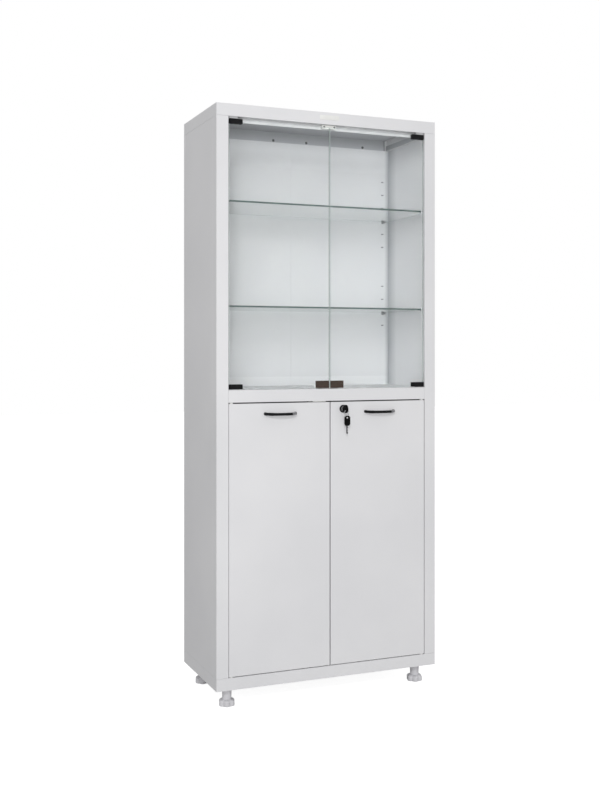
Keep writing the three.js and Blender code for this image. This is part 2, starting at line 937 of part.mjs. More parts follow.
function addPiece(name, geometry, material, parent = cabinet) {
  const piece = new THREE.Mesh(geometry, material);
  piece.name = name;
  parent.add(piece);
  return piece;
}

// Adds one piece to each side: the right one is the left one's mirror image.
function addPair(name, geometry, material) {
  addPiece(`${name}_left`, geometry, material);
  addPiece(`${name}_right`, geometry, material, mirrored);
}

function addHooks(name, z) {
  const hook = shelfHook();
  for (const [side, x] of [["left", slotX], ["right", -slotX]]) {
    addPiece(`hook_${name}_front_${side}`, hook, darkPlastic).position.set(x, returnDepth, z);
    const rear = addPiece(`hook_${name}_rear_${side}`, hook, darkPlastic);
    rear.position.set(x, backFace, z);
    rear.rotation.z = Math.PI;
  }
}

function addCase() {
  addPair("side_panel", sidePanel(), whitePaint);
  addPair("back_panel", backPanel(), whitePaint);
  addPiece("bottom_tray", bottomTray(), whitePaint).position.z = caseBottom;
  const cap = addPiece("top_cap", topCap(), whitePaint);
  cap.scale.z = -1;
  cap.position.z = caseTop;
  addPiece("middle_shelf", middleShelf(), whitePaint);
}

function addShelves() {
  addPiece("glass_shelf_upper", glassShelf(upperSlots[upperGlassSlot]), clearGlass);
  addPiece("glass_shelf_lower", glassShelf(upperSlots[lowerGlassSlot]), clearGlass);
  addPiece("steel_shelf", steelShelf(lowerSlots[steelShelfSlot]), whitePaint);
  addHooks("upper", upperSlots[upperGlassSlot]);
  addHooks("lower", upperSlots[lowerGlassSlot]);
  addHooks("steel", lowerSlots[steelShelfSlot]);
}

function addGlassDoors() {
  addPair("glass_leaf", glassLeaf(), clearGlass);
  addPair("glass_clip_top", glassClip(1), darkPlastic);
  addPair("glass_clip_bottom", glassClip(-1), darkPlastic);
  addPair("strike_plate", strikePlate(), bronzePlate);
  addPair("glass_socket_top", glassSocket(1), greyPlastic);
  addPair("glass_socket_bottom", glassSocket(-1), greyPlastic);
  addPiece("glass_magnet", glassMagnet(), whitePlastic);
  addPiece("glass_stop", topStop(), whitePlastic);
}

function addHandle(side, x) {
  const z = doorTop - handleDrop;
  const grip = handlePiece(endShare, 1 - endShare, gripHalfDepth, gripHalfHeight);
  const gap = seat / handleSpan;
  const left = handlePiece(0, endShare - gap, endHalfDepth, endHalfHeight);
  const right = handlePiece(1 - endShare + gap, 1, endHalfDepth, endHalfHeight);
  addPiece(`handle_grip_${side}`, grip, darkPlastic).position.set(x, 0, z);
  addPiece(`handle_end_a_${side}`, left, chrome).position.set(x, 0, z);
  addPiece(`handle_end_b_${side}`, right, chrome).position.set(x, 0, z);
}

function addSteelDoors() {
  const lockHole = rod(barrelRadius + seat, lockX, lockZ, -sheet, 2 * sheet);
  addPiece("steel_door_left", steelDoor([]), whitePaint);
  addPiece("steel_door_right", steelDoor([lockHole]), whitePaint, mirrored);
  addPair("door_bush_top", doorBush(1), whitePlastic);
  addPair("door_bush_bottom", doorBush(-1), whitePlastic);
  addPiece("door_magnet", magnetStrip(), whitePlastic);
  addHandle("left", doorCentre);
  addHandle("right", -doorCentre);
}

function addLock() {
  const lock = new THREE.Group();
  lock.position.set(-lockX, 0, lockZ);
  cabinet.add(lock);
  addPiece("lock_body", lockBody(), chrome, lock);
  addPiece("lock_nut", lockNut(), zincSteel, lock);
  addPiece("lock_plug", lockPlug(), chrome, lock);
  addPiece("lock_cam", lockCam(), zincSteel, lock);
  addPiece("key", lockKey(), darkPlastic, lock);
  addPiece("key_ring", keyRing(), zincSteel, lock);
  addPiece("spare_key", spareKey(), darkPlastic, lock);
}

function addFeet() {
  for (const [name, x, y] of footPlaces()) {
    addPiece(`foot_${name}`, levellingFoot(), whitePlastic).position.set(x, y, 0);
  }
}

addCase();
addShelves();
addGlassDoors();
addSteelDoors();
addLock();
addFeet();

export default cabinet;
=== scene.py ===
"""Looks of a two-leaf medical cabinet: frameless glass doors over lockable steel doors."""
import json
import math

import bmesh
import bpy
from mathutils import Matrix, Vector
from mathutils.bvhtree import BVHTree


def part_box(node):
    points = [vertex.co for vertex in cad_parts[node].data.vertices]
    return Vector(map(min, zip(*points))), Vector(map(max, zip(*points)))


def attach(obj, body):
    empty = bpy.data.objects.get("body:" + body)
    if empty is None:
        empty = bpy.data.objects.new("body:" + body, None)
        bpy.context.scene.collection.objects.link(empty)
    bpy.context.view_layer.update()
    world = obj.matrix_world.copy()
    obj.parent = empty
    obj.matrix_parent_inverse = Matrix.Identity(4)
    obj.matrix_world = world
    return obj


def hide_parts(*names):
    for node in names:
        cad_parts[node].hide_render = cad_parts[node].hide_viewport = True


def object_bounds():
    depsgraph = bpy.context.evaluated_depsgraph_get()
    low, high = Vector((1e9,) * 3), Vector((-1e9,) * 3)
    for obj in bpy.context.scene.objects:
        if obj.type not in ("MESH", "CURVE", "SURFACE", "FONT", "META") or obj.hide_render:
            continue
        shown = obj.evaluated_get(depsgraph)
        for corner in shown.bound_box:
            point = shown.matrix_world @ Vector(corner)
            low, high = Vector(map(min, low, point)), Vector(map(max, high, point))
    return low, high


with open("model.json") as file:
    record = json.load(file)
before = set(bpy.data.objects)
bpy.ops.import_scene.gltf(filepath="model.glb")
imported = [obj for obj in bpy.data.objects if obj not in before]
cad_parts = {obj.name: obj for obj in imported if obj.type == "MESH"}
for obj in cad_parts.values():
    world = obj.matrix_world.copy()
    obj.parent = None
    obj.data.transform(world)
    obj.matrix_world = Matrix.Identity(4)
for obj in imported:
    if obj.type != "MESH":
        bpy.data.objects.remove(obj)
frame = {"nodes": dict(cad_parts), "record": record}
cad_low, cad_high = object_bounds()

# Camera, fitted to the corners of the case in the photograph
CAMERA_PLACE = (-1.2835, -2.9971, 1.0118)
CAMERA_TURN = math.radians(-22.596)
CAMERA_LENS = 48.03
CAMERA_SENSOR = 36.0
CAMERA_SHIFT_UP = -0.0612

# Floor and light
FLOOR_HALF = 14.0
FLOOR_COLOUR = (0.6, 0.6, 0.6, 1.0)
FLOOR_ROUGHNESS = 0.9
FLOOR_GLOW = 0.85
WHITE = (1.0, 1.0, 1.0, 1.0)
SKY_LIGHT = 0.61

# Lamps: name, place, the point it shines at, size and power in watts
SOFTBOXES = (
    ("key_softbox", (-1.6, -3.6, 2.3), (0.0, 0.0, 1.0), 0.32, 40.0),
    ("front_softbox", (-1.3, -4.2, 1.0), (0.0, 0.0, 1.1), 1.8, 51.5),
)

# Softened edges, rounded corners and turned shapes
WELD_GAP = 0.00001
FOLD_ROUND = 0.0004
MOULDED_ROUND = 0.0006
GLASS_ROUND = 0.0003
EDGE_STEPS = 2
EDGE_ANGLE = math.radians(35)
CORNER_STEPS = 6
TURN_STEPS = 72

# Bow handles
HANDLE_WIDE_POWER = 2.5
HANDLE_DEEP_POWER = 2.05
HANDLE_DENSE_STEPS = 720
HANDLE_STEPS = 120
HANDLE_END_SHARE = 0.19
SLEEVE_START = 0.12
SLEEVE_END = 0.26
SLEEVE_PROUD = 0.0003
SLEEVE_ROUND = 0.12
SLEEVE_RISE = 0.09
HANDLE_FLARE = 0.1
HANDLE_SLIM = 0.0004
HANDLE_TILT = math.radians(2.5)
HANDLE_SHORTER = 0.0042
HANDLE_ASIDE = {"left": -0.0005, "right": 0.0027}
GRIP_POWER = 2.3
GRIP_SIDES = 32

# Levelling feet
FOOT_LOBES = 6
FOOT_GROOVE = 0.19
FOOT_TURN = math.radians(12)
FOOT_RADIUS = 0.024
FOOT_SHOULDER = 0.0115
FOOT_WAIST = 0.0188
FOOT_WAIST_RADIUS = 0.0128
FOOT_NECK_RADIUS = 0.0142
FOOT_NECK_TOP = 0.0518
FOOT_NUT_RADIUS = 0.0115
FOOT_EDGE = 0.002
FOOT_FLARE_STEPS = 14
FOOT_STEPS = 144
NUT_SIDES = 6
NUT_CHAMFER = 0.0006
NUT_GAP_BELOW = 0.0001
NUT_GAP_ABOVE = 0.0003
STUD_RADIUS = 0.0048
STUD_PITCH = 0.0015
STUD_CUT = 0.0005
STUD_STEPS = 24

# Lock and keys
LOCK_COLLAR_INNER = 0.0082
LOCK_FACE_SINK = 0.0006
LOCK_ROUND = 0.0008
LOCK_FACE_LAP = 0.0002
PLUG_GAP = 0.0003
KEY_HEAD_THICKNESS = 0.0078
KEY_HEAD_ROUND = 0.0016
KEY_SHANK_LAP = 0.003
KEY_SHANK_WIDTH = 0.007
KEY_SHANK_THICKNESS = 0.0019
KEY_SHANK_CORNER = 0.0012
STEEL_EDGE = 0.0002
RING_TURNS = 2
RING_STEPS = 96
RING_WIRE = 0.00042
RING_WIRE_SIDES = 10
SPARE_HEAD_LENGTH = 0.0295
SPARE_HEAD_CORNER = 0.0065
SPARE_HEAD_WIDTH = 0.0175
SPARE_HOLE_RADIUS = 0.0023
SPARE_HOLE_DROP = 0.006
SPARE_HEAD_ROUND = 0.0009
SPARE_BLADE_WIDTH = 0.006
SPARE_BLADE_LAP = 0.004
SPARE_THICKNESS = 0.0026
SPARE_BLADE_THICKNESS = 0.0016
SPARE_TURN = math.radians(-20)
SPARE_ASIDE = 0.0022

# Cuts of the spare key's blade, in shares of its width and length
BLADE_TIP = ((-0.5, 0.9), (-0.15, 1.0), (0.25, 0.93))
BLADE_CUTS = (0.18, 0.42, 0.28, 0.5, 0.22, 0.36)
BLADE_FIRST_CUT = 0.86
BLADE_CUT_PITCH = 0.13
BLADE_CUT_LENGTH = 0.05
BLADE_SHOULDER = 0.1

# Heads of screws and rivets, in shares of their radius or of the screw's dome
SCREW_DOME = 0.45
SCREW_FALL = 0.9
SCREW_CROSS = 0.16
SCREW_CROSS_REACH = 0.62
SCREW_CROSS_DEPTH = 0.55
RIVET_DOME = ((0.93, 0.2), (0.75, 0.36), (0.5, 0.44), (0.4, 0.42), (0.36, 0.2), (0.1, 0.16))

# Small fasteners, trim and covers
SCREW_STEPS = 48
SCREW_RINGS = 14
SCREW_SUNK = 0.0003
SCREW_RADIUS = 0.0042
CEILING_SCREWS = (-0.258, -0.057, 0.057, 0.258)
CEILING_SCREW_HEIGHT = 1.682
STOP_SCREWS = (-0.0155, 0.0165)
STOP_SCREW_RADIUS = 0.0028
RIVET_RADIUS = 0.0032
RIVET_RIM = 0.0002
RIVET_STEPS = 36
RIVET_INSET = 0.006
RIVET_COUNT = 9
RIVET_BOTTOM = 0.13
RIVET_TOP = 1.635
PLATE_SIZE = (0.061, 0.0136)
PLATE_THICKNESS = 0.0012
PLATE_CORNER = 0.0022
PLATE_CENTRE = (-0.0025, 1.6948)
COVER_WIDTH = 0.018
COVER_DEPTH = 0.0088
COVER_SHEET = 0.0008
COVER_INSET = 0.023
COVER_BOTTOM = 0.235
COVER_TOP = 1.605
COVER_EDGE = 0.0002
SEAM_STRIP_WIDTH = 0.014
SEAM_STRIP_THICKNESS = 0.001
SEAM_STRIP_LENGTH = 1.575
RAIL_STRIP_ENDS = (-0.0551, -0.0143)
RAIL_STRIP_DEPTHS = (-0.1438, -0.1262)
RAIL_STRIP_THICKNESS = 0.0018
RAIL_STRIP_CORNER = 0.001

# Polished edges of the glass
PANE_BAND = 0.00022
PANE_BAND_CORNER = 0.002
PANE_BAND_SLIM = 0.0004
PANE_BAND_ROUND = 0.00005
SHELF_BAND_CORNER = 0.0008

# Screws in the clips, the catch and the cam
CLIP_SCREW_RADIUS = 0.0024
CLIP_SCREW_REACH = 0.011
CLIP_HALF_HEIGHT = 0.007
CLIP_COVER = 0.0015
CATCH_SCREW_REACH = 0.021
CATCH_SCREW_RADIUS = 0.0026
CATCH_POLE_SIZE = (0.021, 0.0032)
CATCH_POLE_RISE = 0.0026
CATCH_POLE_PROUD = 0.0001
CATCH_POLE_THICKNESS = 0.0008
CATCH_POLE_ACROSS = 0.0155
CAM_SCREW_RADIUS = 0.0031

# Zones inside the case with painted shade in the coat, and one zone of painted light at the top of the
# back wall.
# Each row of a zone names a value of the surface, then that value at the zone's border and where the zone
# is full.
ROOF_BOTTOM = 1.6742
WALL_FRONT = 0.1645
WALL_SIDE = 0.349
DOOR_GAP_BOTTOM = 0.8622
# Painted shade under the roof: slight all over, deeper on the rear and side skirts up against it
UNDER_ROOF = (
    ("up", ROOF_BOTTOM, 1.675),
    ("back", -0.119, -0.1182),
    ("across", 0.3413, 0.3405),
    ("faces_back", 0.6, 0.4),
    ("faces_up", 0.6, 0.4),
)
ROOF_CORNER = (*UNDER_ROOF, ("up", 1.672, 1.702), ("back", 0.0445, WALL_FRONT))
ROOF_SIDE = (*UNDER_ROOF, ("across", 0.333, 0.337))
# Painted shade over the upper back wall, and painted light at its top against the roof's shadow
UPPER_WALL = (
    ("up", 0.93, 0.9308),
    ("up", 1.675, ROOF_BOTTOM),
    ("back", 0.1625, 0.1635),
    ("back", 0.1665, 0.1655),
)
WALL_TOP = (*UPPER_WALL, ("up", 1.592, 1.65))
# Painted shade in the gap above the steel doors
DOOR_GAP = (
    ("up", 0.8614, DOOR_GAP_BOTTOM),
    ("up", 0.868, 0.8672),
    ("back", -0.144, -0.1432),
    ("across", 0.3128, 0.312),
)
# Painted shade in the rear corners, where the side walls meet the back wall
UPRIGHT_CORNER = (
    ("across", 0.334, WALL_SIDE),
    ("across", 0.3498, 0.3494),
    ("back", 0.1065, WALL_FRONT),
    ("back", 0.1653, 0.1649),
    ("up", 0.0756, 0.076),
    ("up", 1.6894, 1.689),
)
# Tone of each zone: below 1 it is painted shade, above 1 it is painted light
PAINTED_SHADE_AND_LIGHT = (
    (UNDER_ROOF, (0.92, 0.93, 0.95, 1.0)),
    (ROOF_CORNER, (0.62, 0.625, 0.63, 1.0)),
    (ROOF_SIDE, (0.62, 0.625, 0.63, 1.0)),
    (UPPER_WALL, (0.92, 0.92, 0.92, 1.0)),
    (WALL_TOP, (1.42, 1.42, 1.42, 1.0)),
    (DOOR_GAP, (0.14, 0.14, 0.145, 1.0)),
    (UPRIGHT_CORNER, (0.58, 0.595, 0.61, 1.0)),
)

# Tones of the glass
DOOR_EDGE = (0.74, 0.88, 0.83)
SHELF_EDGE = (0.22, 0.42, 0.36)
PANE_FACE = (0.972, 0.985, 0.982)
LAMP_TINT = (0.865, 0.88, 0.878, 1.0)
GLASS_IOR = 1.5

# Blanks over slots of the back wall, counted from the lowest slot of the upper compartment
BLANK_SLOTS = (0, 1, 2, 7, 8)
SLOT_FIRST = 0.968
SLOT_PITCH = 0.043
BLANK_ACROSS = 0.327
BLANK_SIZE = (0.0114, 0.0054)
BLANK_THICKNESS = 0.0003
BLANK_CORNER = 0.0006
BLANK_ROUND = 0.00008

SIDES = {"left": -1, "right": 1}
FRONT = (0.0, -1.0, 0.0)
REAR = (0.0, 1.0, 0.0)
UP = (0.0, 0.0, 1.0)


# Camera, floor and light

def new_object(name, data):
    made = bpy.data.objects.new(name, data)
    bpy.context.scene.collection.objects.link(made)
    return made


def make_camera():
    camera = new_object("camera", bpy.data.cameras.new("camera"))
    camera.location = CAMERA_PLACE
    camera.rotation_euler = (math.pi / 2, 0.0, CAMERA_TURN)
    camera.data.sensor_width = CAMERA_SENSOR
    camera.data.lens = CAMERA_LENS
    camera.data.shift_y = CAMERA_SHIFT_UP
    bpy.context.scene.camera = camera


def whiten_backdrop(material, shader):
    """The floor looks white, with no more light thrown up from it than pale paper throws."""
    tree = material.node_tree
    path = tree.nodes.new("ShaderNodeLightPath")
    glow = work_out(tree, "MULTIPLY", path.outputs["Is Camera Ray"], FLOOR_GLOW)
    tree.links.new(glow, shader.inputs["Emission Strength"])


def make_floor():
    corners = [(-1, -1), (1, -1), (1, 1), (-1, 1)]
    mesh = bpy.data.meshes.new("floor")
    mesh.from_pydata([(FLOOR_HALF * x, FLOOR_HALF * y, 0.0) for x, y in corners], [], [(0, 1, 2, 3)])
    floor = new_object("floor", mesh)
    material, shader = plain_material("floor_paper")
    shader.inputs["Base Color"].default_value = FLOOR_COLOUR
    shader.inputs["Roughness"].default_value = FLOOR_ROUGHNESS
    shader.inputs["Emission Color"].default_value = WHITE
    whiten_backdrop(material, shader)
    mesh.materials.append(material)


def make_softbox(name, place, aim, size, power):
    """A square lamp that throws no white panel off the face of the glass."""
    light = bpy.data.lights.new(name, "AREA")
    light.shape = "SQUARE"
    light.size = size
    light.energy = power
    softbox = new_object(name, light)
    softbox.location = place
    softbox.visible_glossy = False
    direction = Vector(aim) - Vector(place)
    softbox.rotation_euler = direction.to_track_quat("-Z", "Y").to_euler()


def make_sky():
    """A white studio that looks brighter than the even light it gives."""
    world = bpy.data.worlds.new("studio")
    world.use_nodes = True
    tree = world.node_tree
    background = tree.nodes["Background"]
    background.inputs["Color"].default_value = WHITE
    path = tree.nodes.new("ShaderNodeLightPath")
    brighter = work_out(tree, "MAXIMUM", path.outputs["Is Camera Ray"], SKY_LIGHT)
    tree.links.new(brighter, background.inputs["Strength"])
    bpy.context.scene.world = world


def make_studio():
    make_floor()
    make_sky()
    for softbox in SOFTBOXES:
        make_softbox(*softbox)
    bpy.context.scene.view_settings.view_transform = "Standard"


# Effects that several finishes share

def new_group(name, inputs, outputs):
    """A shader node group with named float or vector inputs and float outputs."""
    group = bpy.data.node_groups.new(name, "ShaderNodeTree")
    for label, kind in inputs:
        group.interface.new_socket(label, in_out="INPUT", socket_type=kind)
    for label in outputs:
        group.interface.new_socket(label, in_out="OUTPUT", socket_type="NodeSocketFloat")
    start = group.nodes.new("NodeGroupInput")
    end = group.nodes.new("NodeGroupOutput")
    return group, start, end


def grain_group():
    """Fine surface grain as a height, and slow cloudy tone, both from 0 to 1."""
    group, start, end = new_group(
        "surface_grain",
        [
            ("place", "NodeSocketVector"),
            ("grain_scale", "NodeSocketFloat"),
            ("cloud_scale", "NodeSocketFloat"),
        ],
        ["height", "cloud"],
    )
    grain = group.nodes.new("ShaderNodeTexNoise")
    grain.inputs["Detail"].default_value = 2.0
    cloud = group.nodes.new("ShaderNodeTexNoise")
    cloud.inputs["Detail"].default_value = 3.0
    group.links.new(start.outputs["place"], grain.inputs["Vector"])
    group.links.new(start.outputs["place"], cloud.inputs["Vector"])
    group.links.new(start.outputs["grain_scale"], grain.inputs["Scale"])
    group.links.new(start.outputs["cloud_scale"], cloud.inputs["Scale"])
    group.links.new(grain.outputs["Fac"], end.inputs["height"])
    group.links.new(cloud.outputs["Fac"], end.inputs["cloud"])
    return group


def brushed_group():
    """Fine straight lines along one direction, as a value from 0 to 1."""
    group, start, end = new_group(
        "brushed_lines",
        [
            ("place", "NodeSocketVector"),
            ("stretch", "NodeSocketVector"),
            ("line_scale", "NodeSocketFloat"),
        ],
        ["lines"],
    )
    stretch = group.nodes.new("ShaderNodeVectorMath")
    stretch.operation = "MULTIPLY"
    lines = group.nodes.new("ShaderNodeTexNoise")
    lines.inputs["Detail"].default_value = 3.0
    group.links.new(start.outputs["place"], stretch.inputs[0])
    group.links.new(start.outputs["stretch"], stretch.inputs[1])
    group.links.new(stretch.outputs["Vector"], lines.inputs["Vector"])
    group.links.new(start.outputs["line_scale"], lines.inputs["Scale"])
    group.links.new(lines.outputs["Fac"], end.inputs["lines"])
    return group


surface_grain = grain_group()
brushed_lines = brushed_group()


# Parts of a material

def plain_material(name):
    material = bpy.data.materials.new(name)
    material.use_nodes = True
    return material, material.node_tree.nodes["Principled BSDF"]


def work_out(tree, operation, first, second=0.0):
    """The result of a sum on a value and a second value or number."""
    total = tree.nodes.new("ShaderNodeMath")
    total.operation = operation
    tree.links.new(first, total.inputs[0])
    if isinstance(second, float):
        total.inputs[1].default_value = second
    else:
        tree.links.new(second, total.inputs[1])
    return total.outputs["Value"]


def follow(tree, value, low, high, start=0.0, end=1.0):
    """A value that goes from start to end as another goes from low to high."""
    span = tree.nodes.new("ShaderNodeMapRange")
    span.inputs["From Min"].default_value = low
    span.inputs["From Max"].default_value = high
    span.inputs["To Min"].default_value = start
    span.inputs["To Max"].default_value = end
    tree.links.new(value, span.inputs["Value"])
    return span.outputs["Result"]


def add_effect(material, group, **values):
    """Places a shared effect in a material, with the material's own values for it."""
    tree = material.node_tree
    effect = tree.nodes.new("ShaderNodeGroup")
    effect.node_tree = group
    for label, value in values.items():
        effect.inputs[label].default_value = value
    surface = tree.nodes.new("ShaderNodeTexCoord")
    tree.links.new(surface.outputs["Object"], effect.inputs["place"])
    return effect.outputs


def tint_by(material, value, dark, light, low=0.35, high=0.65):
    """Base colour that goes from dark to light as a value goes from low to high."""
    tree = material.node_tree
    ramp = tree.nodes.new("ShaderNodeValToRGB")
    ramp.color_ramp.elements[0].position = low
    ramp.color_ramp.elements[1].position = high
    ramp.color_ramp.elements[0].color = (*dark, 1.0)
    ramp.color_ramp.elements[1].color = (*light, 1.0)
    tree.links.new(value, ramp.inputs["Fac"])
    tree.links.new(ramp.outputs["Color"], tree.nodes["Principled BSDF"].inputs["Base Color"])


def gloss_by(material, value, smooth, rough, low=0.3, high=0.7):
    """Roughness that goes from smooth to rough as a value goes from low to high."""
    tree = material.node_tree
    gloss = follow(tree, value, low, high, smooth, rough)
    tree.links.new(gloss, tree.nodes["Principled BSDF"].inputs["Roughness"])


def bump_by(material, value, depth, strength):
    tree = material.node_tree
    bump = tree.nodes.new("ShaderNodeBump")
    bump.inputs["Distance"].default_value = depth
    bump.inputs["Strength"].default_value = strength
    tree.links.new(value, bump.inputs["Height"])
    tree.links.new(bump.outputs["Normal"], tree.nodes["Principled BSDF"].inputs["Normal"])


# Reading the surface, and zones of painted shade and painted light in the coat

def surface_values(tree):
    """Where a point of the surface lies and which way it faces, by name."""
    surface = tree.nodes.new("ShaderNodeTexCoord")
    place = tree.nodes.new("ShaderNodeSeparateXYZ")
    turn = tree.nodes.new("ShaderNodeSeparateXYZ")
    tree.links.new(surface.outputs["Object"], place.inputs[0])
    tree.links.new(surface.outputs["Normal"], turn.inputs[0])
    return {
        "across": work_out(tree, "ABSOLUTE", place.outputs["X"]),
        "back": place.outputs["Y"],
        "up": place.outputs["Z"],
        "faces_back": turn.outputs["Y"],
        "faces_up": turn.outputs["Z"],
    }


def zone_mask(tree, zone):
    """A mask that is 1 inside a zone, where all of its rows are met."""
    values = surface_values(tree)
    steps = [follow(tree, values[label], border, full) for label, border, full in zone]
    mask = steps[0]
    for step in steps[1:]:
        mask = work_out(tree, "MULTIPLY", mask, step)
    return mask


def paint_shade_and_light(material, zone, tone):
    """Multiplies the base colour by a tone inside a zone: a tone below 1 is painted shade, above 1 painted
    light.
    """
    tree = material.node_tree
    base = tree.nodes["Principled BSDF"].inputs["Base Color"]
    unpainted_coat = base.links[0].from_socket
    toned = tree.nodes.new("ShaderNodeMix")
    toned.data_type = "RGBA"
    toned.blend_type = "MULTIPLY"
    sockets = {socket.identifier: socket for socket in toned.inputs}
    results = {socket.identifier: socket for socket in toned.outputs}
    sockets["B_Color"].default_value = tone
    tree.links.new(zone_mask(tree, zone), sockets["Factor_Float"])
    tree.links.new(unpainted_coat, sockets["A_Color"])
    tree.links.new(results["Result_Color"], base)


# Finishes

def powder_coat():
    """Satin white-grey powder coat with its fine orange-peel skin, and painted shade and painted light
    inside the case.
    """
    material = plain_material("powder_coat")[0]
    grain = add_effect(material, surface_grain, grain_scale=620.0, cloud_scale=3.0)
    tint_by(material, grain["cloud"], dark=(0.682, 0.682, 0.697), light=(0.7215, 0.72, 0.733))
    gloss_by(material, grain["cloud"], smooth=0.38, rough=0.48)
    bump_by(material, grain["height"], depth=0.00008, strength=0.35)
    # Painted shade and painted light in zones inside the case
    for zone, tone in PAINTED_SHADE_AND_LIGHT:
        paint_shade_and_light(material, zone, tone)
    return material


def green_edges(material, broad_faces, edge_colour):
    """Colours the narrow edges of a pane, which don't face as its two broad faces do."""
    tree = material.node_tree
    broad = work_out(tree, "ABSOLUTE", surface_values(tree)[broad_faces])
    tint_by(material, broad, edge_colour, PANE_FACE, low=0.3, high=0.8)


def let_lamps_through(material, shader):
    tree = material.node_tree
    path = tree.nodes.new("ShaderNodeLightPath")
    clear = tree.nodes.new("ShaderNodeBsdfTransparent")
    clear.inputs["Color"].default_value = LAMP_TINT
    mix = tree.nodes.new("ShaderNodeMixShader")
    tree.links.new(path.outputs["Is Shadow Ray"], mix.inputs["Fac"])
    tree.links.new(shader.outputs["BSDF"], mix.inputs[1])
    tree.links.new(clear.outputs["BSDF"], mix.inputs[2])
    tree.links.new(mix.outputs["Shader"], tree.nodes["Material Output"].inputs["Surface"])


def float_glass(name, broad_faces, edge_colour):
    """Clear glass whose narrow edges show the green of its depth. Lamps shine through it."""
    material, shader = plain_material(name)
    shader.inputs["Transmission Weight"].default_value = 1.0
    shader.inputs["IOR"].default_value = GLASS_IOR
    grain = add_effect(material, surface_grain, grain_scale=40.0, cloud_scale=7.0)
    gloss_by(material, grain["cloud"], smooth=0.0, rough=0.02, low=0.45, high=0.75)
    green_edges(material, broad_faces, edge_colour)
    let_lamps_through(material, shader)
    return material


def moulded_plastic(name, dark, light, smooth=0.4, rough=0.55, shine=0.5):
    """Moulded plastic with a spark-eroded grain and slightly uneven colour."""
    material, shader = plain_material(name)
    shader.inputs["Specular IOR Level"].default_value = shine
    grain = add_effect(material, surface_grain, grain_scale=1500.0, cloud_scale=30.0)
    tint_by(material, grain["cloud"], dark, light)
    gloss_by(material, grain["height"], smooth, rough)
    bump_by(material, grain["height"], depth=0.00005, strength=0.25)
    return material


def bright_metal(name, dark, light, smooth, rough, stretch=(1.0, 1.0, 0.1), line_scale=900.0):
    """Plated metal with polishing lines in its gloss."""
    material, shader = plain_material(name)
    shader.inputs["Metallic"].default_value = 1.0
    lines = add_effect(material, brushed_lines, stretch=stretch, line_scale=line_scale)["lines"]
    tint_by(material, lines, dark, light)
    gloss_by(material, lines, smooth, rough)
    bump_by(material, lines, depth=0.00002, strength=0.15)
    return material


def bronze_plate():
    """Dark brown plated steel, brushed across."""
    material, shader = plain_material("bronze_plate")
    shader.inputs["Metallic"].default_value = 0.6
    lines = add_effect(material, brushed_lines, stretch=(0.06, 1.0, 1.0), line_scale=1600.0)["lines"]
    tint_by(material, lines, dark=(0.055, 0.04, 0.032), light=(0.12, 0.088, 0.07))
    gloss_by(material, lines, smooth=0.28, rough=0.45)
    bump_by(material, lines, depth=0.00002, strength=0.2)
    return material


def polished_edge(name, dark, light):
    """The ground and polished edge of a pane, which shows the glass's own green."""
    material = plain_material(name)[0]
    lines = add_effect(material, brushed_lines, stretch=(0.04, 1.0, 0.04), line_scale=900.0)["lines"]
    tint_by(material, lines, dark, light)
    gloss_by(material, lines, smooth=0.12, rough=0.25)
    bump_by(material, lines, depth=0.00001, strength=0.1)
    return material


DARK_GREY_PLASTIC = moulded_plastic("dark_grey_plastic", (0.18, 0.18, 0.19), (0.24, 0.24, 0.25))
KEY_PLASTIC = moulded_plastic("key_plastic", (0.003, 0.003, 0.003), (0.006, 0.006, 0.006), 0.5, 0.65, 0.06)
KEY_STEEL = bright_metal("key_steel", (0.09, 0.09, 0.095), (0.15, 0.15, 0.155), 0.3, 0.42)
POLISHED_NICKEL = bright_metal("polished_nickel", (0.28, 0.28, 0.29), (0.36, 0.36, 0.37), 0.12, 0.2)
SATIN_NICKEL = bright_metal(
    "satin_nickel", (0.78, 0.78, 0.79), (0.88, 0.88, 0.89), 0.3, 0.42, stretch=(1.0, 1.0, 0.2)
)
DARK_NICKEL = bright_metal(
    "dark_nickel", (0.13, 0.13, 0.14), (0.21, 0.21, 0.22), 0.22, 0.34, stretch=(1.0, 1.0, 0.15)
)
DOOR_EDGE_FINISH = polished_edge("door_glass_edge", (0.56, 0.64, 0.61), (0.66, 0.73, 0.7))
SHELF_EDGE_FINISH = polished_edge("shelf_glass_edge", (0.045, 0.075, 0.067), (0.075, 0.115, 0.105))

# The finish of each material slot of the record
FINISHES = {
    "white_paint": powder_coat(),
    "clear_glass": float_glass("door_glass", "faces_back", DOOR_EDGE),
    "black_plastic": moulded_plastic(
        "black_plastic", (0.004, 0.004, 0.005), (0.009, 0.009, 0.01), smooth=0.3, rough=0.45, shine=0.16
    ),
    "bronze_plate": bronze_plate(),
    "chrome": bright_metal("chrome", (0.72, 0.73, 0.75), (0.82, 0.83, 0.84), smooth=0.08, rough=0.16),
    "grey_plastic": moulded_plastic("grey_nylon", (0.36, 0.365, 0.375), (0.42, 0.425, 0.435)),
    "white_plastic": moulded_plastic("white_nylon", (0.74, 0.74, 0.72), (0.8, 0.8, 0.78)),
    "zinc_steel": bright_metal(
        "zinc_steel", (0.5, 0.51, 0.53), (0.63, 0.64, 0.65), 0.25, 0.4, (1.0, 0.2, 1.0), line_scale=700.0
    ),
    "foot_plastic": moulded_plastic(
        "foot_plastic", (0.625, 0.62, 0.645), (0.685, 0.68, 0.705), smooth=0.35, rough=0.5
    ),
}

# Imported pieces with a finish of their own, by the start of their names
OWN_FINISHES = {
    "glass_shelf": float_glass("shelf_glass", "faces_up", SHELF_EDGE),
    "hook": DARK_GREY_PLASTIC,
}


